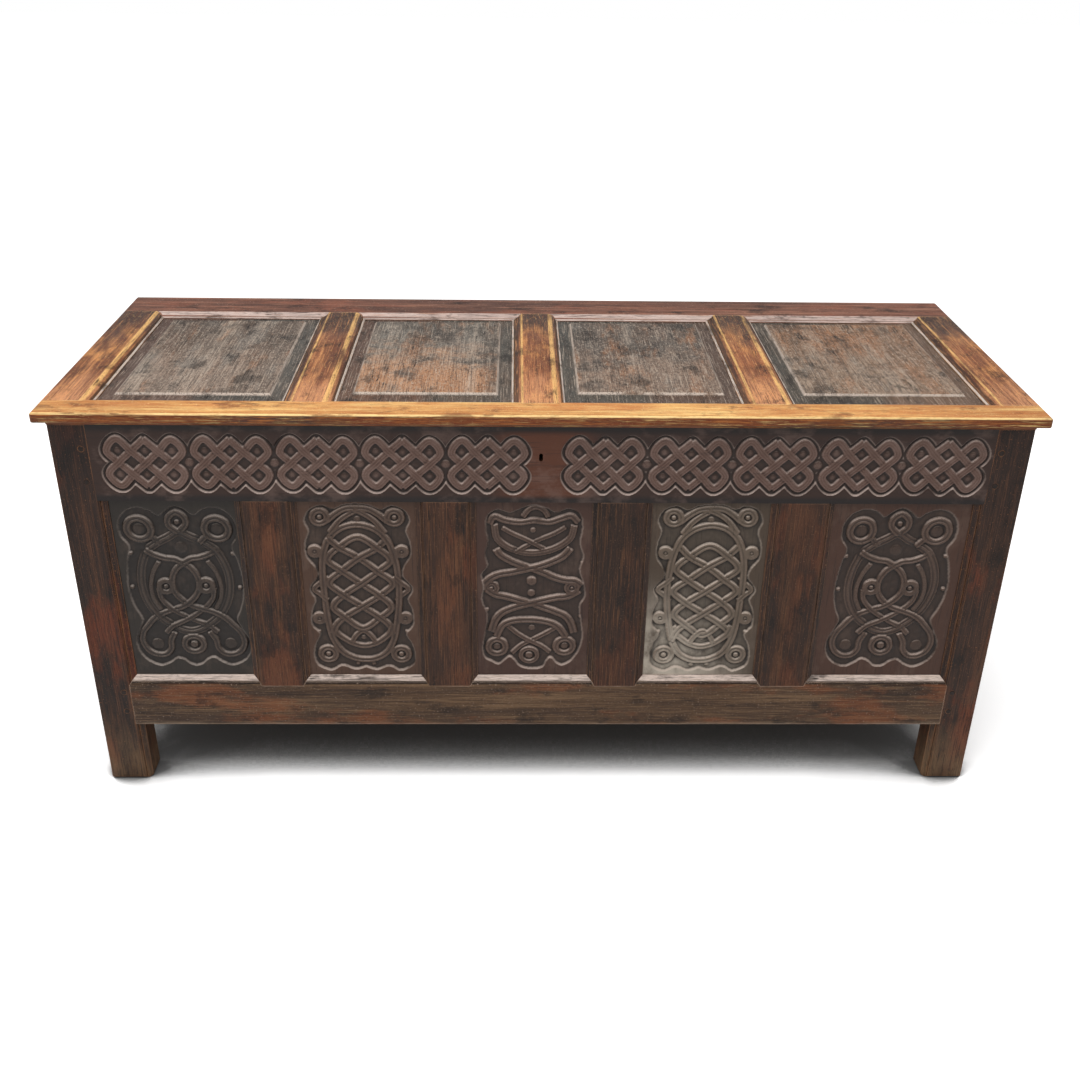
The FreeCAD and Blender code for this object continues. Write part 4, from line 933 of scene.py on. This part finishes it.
def ringed_oval():
    """An oval band under three rings, with a lens, two curled eyes and legs that end in rings."""
    outline = closed_by_mirror([
        (0, 328), (14, 322), (28, 311), (42, 321), (62, 326), (82, 318), (95, 298), (95, 272), (84, 252),
        (91, 225), (96, 190), (95, 160), (89, 135), (80, 112), (87, 92), (97, 68), (95, 45), (83, 28),
        (62, 18), (45, 24), (32, 33), (20, 30), (10, 21), (0, 18),
    ])
    oval = closed_by_mirror([
        (0, 279), (18, 269), (38, 258), (56, 243), (68, 218), (73, 190), (71, 162), (63, 138), (50, 117),
        (34, 102), (18, 91), (0, 86),
    ])
    top_loop = [(0, 279), (13, 292), (13, 306), (0, 316), (-13, 306), (-13, 292), (0, 279)]
    smile = bow([(0, 222), (14, 228), (28, 230), (44, 236), (58, 245)])
    straps = [Strap(oval, 7.6, closed=True, grooves=(-0.5, 0.5), low=1.3)]
    straps += [Strap(top_loop, 5.6), Strap(smile, 5.4)]

    def side(turn):
        inner = [(40, 222), (52, 202), (58, 178), (56, 154), (46, 132)]
        leg = [(0, 220), (-12, 210), (-21, 193), (-21, 172), (-12, 154), (6, 139), (26, 131), (44, 124),
               (59, 114), (72, 99), (83, 84), (87, 66), (80, 48), (66, 39), (50, 40), (40, 52), (38, 68),
               (30, 84)]
        tail = [(46, 172), (42, 152), (28, 134), (10, 120), (-10, 108), (-30, 98), (-43, 84)]
        return [
            Strap(turn(inner), 4.2, grooves=(), low=1.3), Strap(turn(leg), 5.4), Strap(turn(tail), 4.4),
            Strap(turn(ring(63, 285, 20)), 6.2, closed=True), Strap(turn([(45, 272), (32, 258)]), 5.0),
            Strap(turn(ring(33, 177, 11)), 5.0, closed=True, grooves=()),
        ]

    straps += both_sides(side)
    straps.append(Strap(ring(0, 60, 16), 5.6, closed=True))
    bosses = [(0, 297, 5, 1.5), (0, 60, 7, 0), (0, 249, 11, 2.6)]
    bosses += in_pairs([
        (63, 284, 11, 2.2), (33, 177, 4.5, 0), (62, 60, 11, 2.2), (84, 238, 4, 0), (90, 174, 4, 0),
        (88, 112, 4, 0.5),
    ])
    return outline, straps, bosses


def plaited_oval(drop):
    """A plait that hangs by drop in an oval, with rings in the corners and along the sides."""
    outline = closed_by_mirror([
        (0, 333), (22, 331), (40, 324), (58, 331), (78, 323), (87, 304), (81, 284), (87, 262), (87, 236),
        (75, 215), (72, 197), (87, 173), (79, 152), (86, 131), (87, 102), (75, 84), (84, 62), (88, 38),
        (83, 19), (62, 8), (46, 16), (36, 16), (20, 9), (6, 12), (0, 15),
    ])
    oval = closed_by_mirror([
        (0, 294), (28, 287), (49, 267), (60, 236), (64, 200), (64, 160), (61, 120), (54, 76), (40, 46),
        (21, 32), (0, 28),
    ])
    loop = closed_by_mirror([
        (0, 270), (31, 252), (53, 228), (31, 205), (0, 181), (-31, 159), (-50, 137), (-31, 116), (0, 94),
    ])
    bowl = bow([(0, 57), (14, 60), (29, 68), (44, 82), (51, 98)])
    arch = bow([(0, 88), (11, 81), (22, 64)])
    band = bow([(0, 325), (20, 323), (36, 314), (50, 302)])
    lowered = [Strap([(x, z - drop) for x, z in loop], 6.2, closed=True)]
    for turn in (list, mirrored):
        strand = [(-50, 270), (-30, 249), (0, 230), (31, 205), (54, 183), (31, 159), (0, 137), (-31, 116),
                  (-46, 101), (-53, 84)]
        lowered.append(Strap([(x, z - drop) for x, z in turn(strand)], 6.2))
    straps = [Strap(oval, 6.0, closed=True)] + lowered
    straps += [Strap(bowl, 5.6), Strap(arch, 4.6), Strap(band, 5.6)]

    def side(turn):
        return [
            Strap(turn([(-4, 322), (16, 312), (32, 299), (46, 280)]), 4.8),
            Strap(turn([(58, 196), (68, 185), (80, 172), (70, 161), (60, 150)]), 4.6),
            Strap(turn(ring(62, 309, 12)), 5.6, closed=True),
            Strap(turn(ring(73, 244, 8)), 4.8, closed=True, grooves=()),
            Strap(turn(ring(74, 115, 8)), 4.8, closed=True, grooves=()),
            Strap(turn(ring(64, 41, 13)), 5.6, closed=True),
        ]

    straps += both_sides(side)
    bosses = [(0, 304, 6, 2.0), (0, 74, 5, 2.0)]
    bosses += in_pairs([
        (62, 309, 4.5, 0), (73, 244, 3, 0), (74, 115, 3, 0), (64, 41, 5, 0), (14, 20, 4, 1.0),
        (76, 88, 3.5, 0.5),
    ])
    return outline, straps, bosses


def crossed_bands():
    """Two wide pairs of crossed bands round a boss, and thin crossed straps at both ends."""
    outline = [
        (0, 333), (20, 327), (36, 319), (56, 325), (75, 314), (79, 290), (76, 262), (83, 236), (78, 210),
        (85, 182), (87, 158), (78, 138), (81, 110), (85, 80), (82, 56), (75, 40), (65, 26), (52, 19),
        (42, 24), (33, 36), (25, 30), (18, 16), (0, 12), (-20, 17), (-30, 30), (-38, 38), (-46, 31),
        (-58, 21), (-71, 27), (-83, 36), (-86, 58), (-82, 90), (-79, 120), (-88, 150), (-84, 175),
        (-87, 200), (-77, 216), (-81, 240), (-77, 265), (-81, 290), (-77, 312), (-60, 323), (-40, 318),
        (-20, 327),
    ]
    straps = [
        Strap([(-74, 297), (-66, 309), (-48, 303), (-24, 300), (0, 304), (24, 301), (44, 307), (60, 311),
               (71, 300)], 5.8),
        Strap([(-18, 311), (-8, 324), (4, 328), (16, 322), (22, 311)], 4.6),
        Strap([(-52, 288), (-34, 278), (-12, 268), (12, 254), (28, 244)], 4.0, low=0.8),
        Strap([(50, 290), (32, 279), (10, 269), (-14, 255), (-30, 243)], 4.0, low=0.8),
        Strap([(-66, 294), (-62, 271), (-48, 256), (-26, 246), (0, 243), (26, 248), (46, 258), (60, 272),
               (65, 293)], 6.0, grooves=(-0.3, 0.45)),
        Strap([(-84, 180), (-74, 190), (-58, 199), (-36, 204), (-12, 211), (10, 217), (30, 225), (48, 235),
               (60, 250)], 6.8),
        Strap([(-62, 248), (-54, 237), (-38, 227), (-20, 219), (0, 212), (20, 203), (36, 194), (54, 188),
               (70, 186), (81, 178)], 6.8),
        Strap([(-78, 170), (-64, 160), (-46, 156), (-24, 150), (0, 143), (20, 135), (38, 127), (54, 118),
               (64, 104), (70, 86)], 6.8),
        Strap([(77, 168), (58, 157), (40, 155), (20, 151), (0, 146), (-20, 140), (-38, 133), (-54, 124),
               (-65, 110), (-72, 88)], 6.8),
        Strap([(-62, 78), (-52, 100), (-32, 110), (0, 112), (26, 107), (43, 97), (56, 78)], 6.4),
        Strap([(-42, 98), (-26, 84), (-6, 71), (14, 60), (30, 46)], 4.4, low=0.6),
        Strap([(38, 96), (20, 84), (0, 72), (-18, 61), (-34, 44)], 4.4, low=0.6),
        Strap(ring(-61, 56, 15), 5.8, closed=True), Strap(ring(55, 58, 15), 5.8, closed=True),
        Strap(ring(-5, 40, 14), 4.2, closed=True), Strap(ring(-70, 173, 9), 4.6, closed=True),
        Strap(ring(65, 173, 9), 4.6, closed=True),
    ]
    bosses = [
        (-2, 188, 9, 0), (-3, 164, 7, 1.2), (-5, 40, 7, 0.5), (-61, 56, 7, 1.5), (55, 58, 7, 1.5),
        (-70, 173, 3.5, 0), (65, 173, 3.5, 0), (-2, 286, 5, 1.0),
        (-2, 96, 6, 1.8), (-84, 222, 4, 0.5), (-80, 130, 4, 0.5),
        (82, 222, 4, 0.5), (80, 118, 4, 0.5),
    ]
    return outline, straps, bosses


# The height that the designs are drawn for, and each carved panel's design, with what the design
# takes and how far its axis is off the panel's middle
DRAWN_HEIGHT = 342.0
PANEL_DESIGNS = {
    "front_panel_1": (ringed_oval, (), 4.0),
    "front_panel_2": (plaited_oval, (0.0,), 0.0),
    "front_panel_3": (crossed_bands, (), 0.0),
    "front_panel_4": (plaited_oval, (14.0,), 1.0),
    "front_panel_5": (ringed_oval, (), 1.0),
}


def hand_cut(points, seed):
    """The points moved a little to and fro, as in a design that was cut by eye."""
    p = np.array(points, float)
    stray = [
        sum(np.sin(p[:, axis] / length + phase * seed) for axis, length, phase in waves)
        for waves in HAND_WAVES
    ]
    return p + HAND_ERROR * np.stack(stray, -1)


def placed(design, seed, x, z, stretch=1.0):
    """A design at its place on a face: its outline, straps and bosses."""
    outline, straps, bosses = design
    origin = np.array((x, z))
    scale = np.array((1.0, stretch))

    def moved(points):
        return hand_cut(points, seed) * scale + origin

    for strap in straps:
        strap.line = moved(strap.line)
    if outline:
        outline = moved(smooth_line(outline, True)[::OUTLINE_STRIDE])
    return outline, straps, [(*moved([(bx, bz)])[0], r, low) for bx, bz, r, low in bosses]


def knot_strap(middle):
    """The strap of the knot about a middle, drawn out a little at its two ends."""
    points = []
    for column, row in KNOT:
        x = column * KNOT_COLUMN
        if abs(column) > 1:
            x = math.copysign(KNOT_COLUMN + KNOT_SIDE_REACH, column)
        points.append((middle + x, row * KNOT_ROW))
    return Strap(points, FRIEZE_STRAP, closed=True, grooves=(-0.36, 0.36))


def knot_bosses(middle):
    """The bosses in the knot's upper and lower gaps, and what fills its middle ones."""
    bosses = []
    for column in (-1, 0, 1):
        for row in (-0.5, 0.5):
            bosses.append((middle + column * KNOT_COLUMN, row * KNOT_ROW, KNOT_BOSS, KNOT_BOSS_LOW))
    for column in (-0.5, 0.5):
        bosses.append((middle + column * KNOT_COLUMN, 0.0, KNOT_FILL, KNOT_FILL_LOW))
    return bosses


def frieze():
    """The straps and bosses of both runs of knots, about the frieze's middle line."""
    straps = []
    bosses = []
    for start, pitch in FRIEZE_RUNS:
        middles = [start + i * pitch for i in range(KNOTS_IN_RUN)]
        for middle in middles:
            straps.append(knot_strap(middle))
            bosses += knot_bosses(middle)
        bosses += [(middle + pitch / 2.0, 0.0, PELLET, PELLET_LOW) for middle in middles[:-1]]
    return None, straps, bosses


def keyhole_cut(x, z, middle_x, middle_z):
    """How deep points lie inside the keyhole, and where on its outline each would go."""
    radius = KEYHOLE_WIDTH / 2.0
    reach = KEYHOLE_LENGTH / 2.0 - radius
    spine_z = np.clip(z, middle_z - reach, middle_z + reach)
    dx = x - middle_x
    dz = z - spine_z
    away = np.maximum(np.hypot(dx, dz), 1e-6)
    return radius - away, middle_x + dx / away * radius, spine_z + dz / away * radius


def carved_front(relief, height, front, keyhole):
    """The vertices and faces of a carved front, with its keyhole left open."""
    x, z = np.meshgrid(relief.columns, relief.rows)
    index = np.arange(x.size).reshape(x.shape)
    quads = np.stack([index[:-1, :-1], index[:-1, 1:], index[1:, 1:], index[1:, :-1]], -1)
    quads = quads.reshape(-1, 4)
    x, z = x.ravel(), z.ravel()
    if keyhole:
        depth, edge_x, edge_z = keyhole_cut(x, z, *keyhole)
        inside = depth > 0
        quads = quads[~inside[quads].all(axis=1)]
        x = np.where(inside, edge_x, x)
        z = np.where(inside, edge_z, z)
    vertices = np.stack([x * MM, front - height.ravel() * MM, z * MM], -1)
    return vertices.tolist(), quads.tolist()


def rest_of_board(node, front, first):
    """The vertices and faces of a board without its flat front, numbered from first on."""
    rest = bmesh.new()
    rest.from_mesh(node.data)
    bmesh.ops.remove_doubles(rest, verts=rest.verts, dist=SAME_POINT)
    on_front = [f for f in rest.faces if all(abs(v.co.y - front) < SAME_PLANE for v in f.verts)]
    bmesh.ops.delete(rest, geom=on_front, context="FACES")
    rest.verts.ensure_lookup_table()
    vertices = [v.co[:] for v in rest.verts]
    faces = [[v.index + first for v in f.verts] for f in rest.faces]
    rest.free()
    return vertices, faces


def write_fields(mesh, relief, height):
    """Notes for the material at each vertex: how carved, deep, hollow and proud it is."""
    around = blurred(height, WEAR_RADIUS)
    fields = {
        "border": 1.0 - relief.sunk,
        "relief": 1.0 + height / GROUND_DEPTH,
        "hollow": np.clip((around - height) / HOLLOW_DEPTH, 0.0, 1.0),
        "ridge": np.clip((height - around) / RIDGE_HEIGHT, 0.0, 1.0),
    }
    for key, field in fields.items():
        values = np.zeros(len(mesh.vertices), np.float32)
        values[:field.size] = field.ravel()
        if key in ("relief", "border"):
            values[field.size:] = 1.0
        mesh.attributes.new(key, "FLOAT", "POINT").data.foreach_set("value", values)


def carved_piece(name, relief, seed, keyhole=None):
    """A board whose flat front is replaced by the carved one; the rest is the CAD node's."""
    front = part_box(name)[0].y
    height = relief.finished(seed)
    vertices, quads = carved_front(relief, height, front, keyhole)
    rest_vertices, rest_faces = rest_of_board(frame["nodes"][name], front, len(vertices))
    mesh = bpy.data.meshes.new(name + "_carved")
    mesh.from_pydata(vertices + rest_vertices, [], quads + rest_faces)
    smooth = [True] * len(quads) + [False] * len(rest_faces)
    mesh.polygons.foreach_set("use_smooth", smooth)
    write_fields(mesh, relief, height)
    piece = bpy.data.objects.new(name + "_carved", mesh)
    bpy.context.scene.collection.objects.link(piece)
    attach(piece, "case")
    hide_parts(name)
    return piece


def front_face_box(name):
    """x and z from and to of a node's flat front, in millimetres."""
    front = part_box(name)[0].y
    vertices = frame["nodes"][name].data.vertices
    flat = [v.co for v in vertices if abs(v.co.y - front) < SAME_PLANE]
    xs = [co.x / MM for co in flat]
    zs = [co.z / MM for co in flat]
    return min(xs), max(xs), min(zs), max(zs)


def carve_panel(name, seed):
    x0, x1, z0, z1 = front_face_box(name)
    sight_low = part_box("front_bottom_rail")[1].z / MM
    sight_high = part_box("front_top_rail")[0].z / MM
    design, settings, shift = PANEL_DESIGNS[name]
    relief = Relief(x0, x1, z0, z1, PANEL_GRID)
    stretch = (sight_high - sight_low) / DRAWN_HEIGHT
    middle = (x0 + x1) / 2.0 + shift
    relief.carve(*placed(design(*settings), seed, middle, sight_low, stretch))
    return carved_piece(name, relief, seed)


def carve_top_rail(seed):
    name = "front_top_rail"
    x0, x1, z0, z1 = front_face_box(name)
    relief = Relief(x0, x1, z0, z1, FRIEZE_GRID)
    relief.carve(*placed(frieze(), seed, 0.0, z1 - FRIEZE_MIDDLE_UNDER_TOP))
    return carved_piece(name, relief, seed, (KEYHOLE_X, z1 - KEYHOLE_UNDER_TOP))


def dust(s, mottle, corner):
    """Pale dust on a board's face, round one of its corners."""
    inputs = {0: s.place, 1: corner}
    away = s.node("ShaderNodeVectorMath", inputs, operation="DISTANCE").outputs["Value"]
    near = s.between(away, DUST_RADIUS, 0.2 * DUST_RADIUS)
    on_face = s.between(s.y, corner.y + DUST_DEPTH, corner.y + 0.6 * DUST_DEPTH)
    s.cover(DUST_COLOUR, near, s.between(mottle, 0.25, 0.6), 0.8, on_face)


def carved_oak(name, grain, tones, border_colour, seed, dust_corner=None):
    """Waxed oak that is rubbed on the carving's ridges, darker the deeper it is cut, with painted shade in
    its hollows and a painted highlight on its slopes that face up.
    """
    s = Shader(name)
    relief, hollow, ridge, border = [
        s.node("ShaderNodeAttribute", attribute_name=key).outputs["Fac"]
        for key in ("relief", "hollow", "ridge", "border")
    ]
    carved = s.math("SUBTRACT", 1.0, border)
    fibres = s.streaks(grain, seed, CARVED_FIBRES)
    mottle = s.streaks(grain, seed + 7.0, CARVED_MOTTLE)
    fine = s.speckle(FINE_GRAIN)
    s.colour = s.mix(s.between(relief, 0.1, 0.8), tones.dark, tones.middle)
    s.cover(border_colour(s), border)
    s.tint(mottle, 0.5, 0.68, 0.25, tones.light)
    s.tint(fibres, 0.48, 0.3, 0.55, tones.stain_and_shade)
    if dust_corner:
        dust(s, mottle, dust_corner)
    # Painted shade in the carving's hollows
    s.cover(tones.stain_and_shade, hollow, 0.85)
    s.cover(tones.light, ridge, carved, s.between(fine, 0.3, 0.55), 0.6)
    # Painted shade on the carving's slopes that face down
    s.cover(tones.stain_and_shade, s.between(s.facing_z, -0.1, -0.6), carved, 0.75)
    # A painted highlight along the edge of the sunk ground
    rim_highlight = s.times(border, carved, s.between(mottle, 0.3, 0.55), 2.0)
    s.cover(tones.worn_and_highlight, rim_highlight)
    # A painted highlight on slopes that face up, less in hollows and on the flat border
    open_share = s.math("SUBTRACT", 1.0, s.times(hollow, 0.8))
    open_to_light = s.times(open_share, s.between(border, 1.0, 0.9))
    lit = s.times(s.between(s.facing_z, 0.2, 0.66), s.between(mottle, 0.2, 0.55), open_to_light)
    s.cover(tones.worn_and_highlight, lit, s.between(fine, 0.25, 0.5), 0.95)
    # Grime with painted shade, darker in corners that other faces close in
    s.tint(s.hollow(CARVED_GRIME_AND_SHADE_REACH), 0.34, 0.85, 0.85, tones.stain_and_shade)
    normal = s.bump(fine, 0.12 * MM, s.bump(fibres, 0.2 * MM))
    return s.finish(s.spread(mottle, 0.36, 0.56), normal, coat=0.05)


def rail_border(s):
    """The top rail's flat: ruddy by the keyhole, with painted shade under the lid and along its lower
    edge.
    """
    low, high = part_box("front_top_rail")
    reach = RAIL_SHADE_REACH
    near_keyhole = s.between(s.math("ABSOLUTE", s.x), KEYHOLE_GLOW_REACH, 0.4 * KEYHOLE_GLOW_REACH)
    colour = s.mix(near_keyhole, FRIEZE_BORDER_COLOUR, KEYHOLE_GLOW_COLOUR)
    under_lid = s.between(s.z, high.z - reach, high.z - 0.25 * reach)
    colour = s.mix(under_lid, colour, RAIL_SHADE_COLOUR)
    return s.mix(s.between(s.z, low.z + reach, low.z + 0.3 * reach), colour, RAIL_SHADE_COLOUR)


def panel_tones(middle):
    dark = [GROUND_SHARE * channel for channel in middle]
    light = [base + RIDGE_SHARE * channel for base, channel in zip(RIDGE_BASE, middle)]
    worn_and_highlight = [base + WORN_AND_HIGHLIGHT_SHARE * channel for base, channel in zip(WORN_AND_HIGHLIGHT_BASE, middle)]
    return Tones(dark, middle, light, worn_and_highlight, PANEL_STAIN_AND_SHADE)


def carve_all():
    for seed, name in enumerate(sorted(PANEL_DESIGNS)):
        piece = carve_panel(name, seed)
        middle, border = CARVED_PANEL_COLOURS[name]
        border = linear(border)
        dust_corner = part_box(name)[0] if name == DUSTY_PANEL else None
        piece.data.materials.append(carved_oak(
            "carved_" + name, ALONG_Z, panel_tones(middle), lambda s: border, PANEL_SEED + seed,
            dust_corner,
        ))
    rail = carve_top_rail(FRIEZE_HAND_SEED)
    rail.data.materials.append(
        carved_oak("carved_frieze", ALONG_X, FRIEZE_TONES, rail_border, FRIEZE_SEED))


def dress_all():
    slots = {part["node"]: part["material_slot"] for part in frame["record"]["subparts"]}
    wrought_iron = iron()
    for seed, name in enumerate(sorted(frame["nodes"])):
        if slots[name] == "wrought_iron":
            dress(name, wrought_iron, IRON_ARRIS)
        else:
            dress(name, oak(name, float(seed)), CASE_ARRIS)


def make_stage():
    """Pale floor that shows white to the camera and keeps the chest's shadow, with a painted shadow added
    where the chest closes it in.
    """
    bpy.ops.mesh.primitive_plane_add(size=FLOOR_SIZE)
    floor = bpy.context.object
    floor.name = "stage_floor"
    s = Shader("stage_floor")
    seen = s.node("ShaderNodeLightPath").outputs
    straight = s.most(s.most(seen["Is Camera Ray"], seen["Is Glossy Ray"]), seen["Is Transmission Ray"])
    # A painted shadow, darker where the chest closes the floor in
    closed_in = s.hollow(SHADOW_REACH, SHADOW_SAMPLES)
    tint = s.mix(s.between(closed_in, SHADOW_START, SHADOW_FULL), FLOOR_TO_CAMERA, SHADOW_COLOUR)
    bright = s.node("ShaderNodeBsdfDiffuse", {"Color": tint}).outputs[0]
    plain = s.node("ShaderNodeBsdfDiffuse", {"Color": FLOOR_TO_LIGHT}).outputs[0]
    mixed = s.node("ShaderNodeMixShader", {0: straight, 1: plain, 2: bright}).outputs[0]
    s.tree.links.new(mixed, s.node("ShaderNodeOutputMaterial").inputs["Surface"])
    floor.data.materials.append(s.material)


def make_world():
    world = bpy.data.worlds.new("studio")
    bpy.context.scene.world = world
    world.use_nodes = True
    tree = world.node_tree
    tree.nodes.clear()
    path = tree.nodes.new("ShaderNodeLightPath")
    level = tree.nodes.new("ShaderNodeMix")
    level.inputs[2].default_value = WORLD_LEVEL
    level.inputs[3].default_value = BACKGROUND_LEVEL
    background = tree.nodes.new("ShaderNodeBackground")
    background.inputs["Color"].default_value = (1.0, 1.0, 1.0, 1.0)
    output = tree.nodes.new("ShaderNodeOutputWorld")
    tree.links.new(path.outputs["Is Camera Ray"], level.inputs[0])
    tree.links.new(level.outputs[0], background.inputs["Strength"])
    tree.links.new(background.outputs[0], output.inputs["Surface"])


def make_light():
    data = bpy.data.lights.new("key", "AREA")
    data.size = KEY_SIZE
    data.energy = KEY_POWER
    light = bpy.data.objects.new("key", data)
    light.location = KEY_PLACE
    light.rotation_mode = "QUATERNION"
    light.rotation_quaternion = (KEY_AIM - KEY_PLACE).to_track_quat("-Z", "Y")
    bpy.context.scene.collection.objects.link(light)


def make_camera():
    ahead = Vector((
        math.sin(CAMERA_YAW) * math.cos(CAMERA_PITCH),
        math.cos(CAMERA_YAW) * math.cos(CAMERA_PITCH),
        -math.sin(CAMERA_PITCH),
    ))
    level_right = Vector((math.cos(CAMERA_YAW), -math.sin(CAMERA_YAW), 0.0))
    level_up = level_right.cross(ahead)
    right = level_right * math.cos(CAMERA_ROLL) + level_up * math.sin(CAMERA_ROLL)
    up = level_up * math.cos(CAMERA_ROLL) - level_right * math.sin(CAMERA_ROLL)
    data = bpy.data.cameras.new("camera")
    data.sensor_width = SENSOR_WIDTH
    data.lens = FOCAL_LENGTH_PIXELS / IMAGE_SIZE * SENSOR_WIDTH
    camera = bpy.data.objects.new("camera", data)
    turned = Matrix((right, up, -ahead)).transposed().to_4x4()
    camera.matrix_world = Matrix.Translation(CAMERA_PLACE) @ turned
    bpy.context.scene.collection.objects.link(camera)
    bpy.context.scene.camera = camera


bpy.context.scene.view_settings.view_transform = "Standard"
make_camera()
make_world()
make_light()
make_stage()
dress_all()
carve_all()
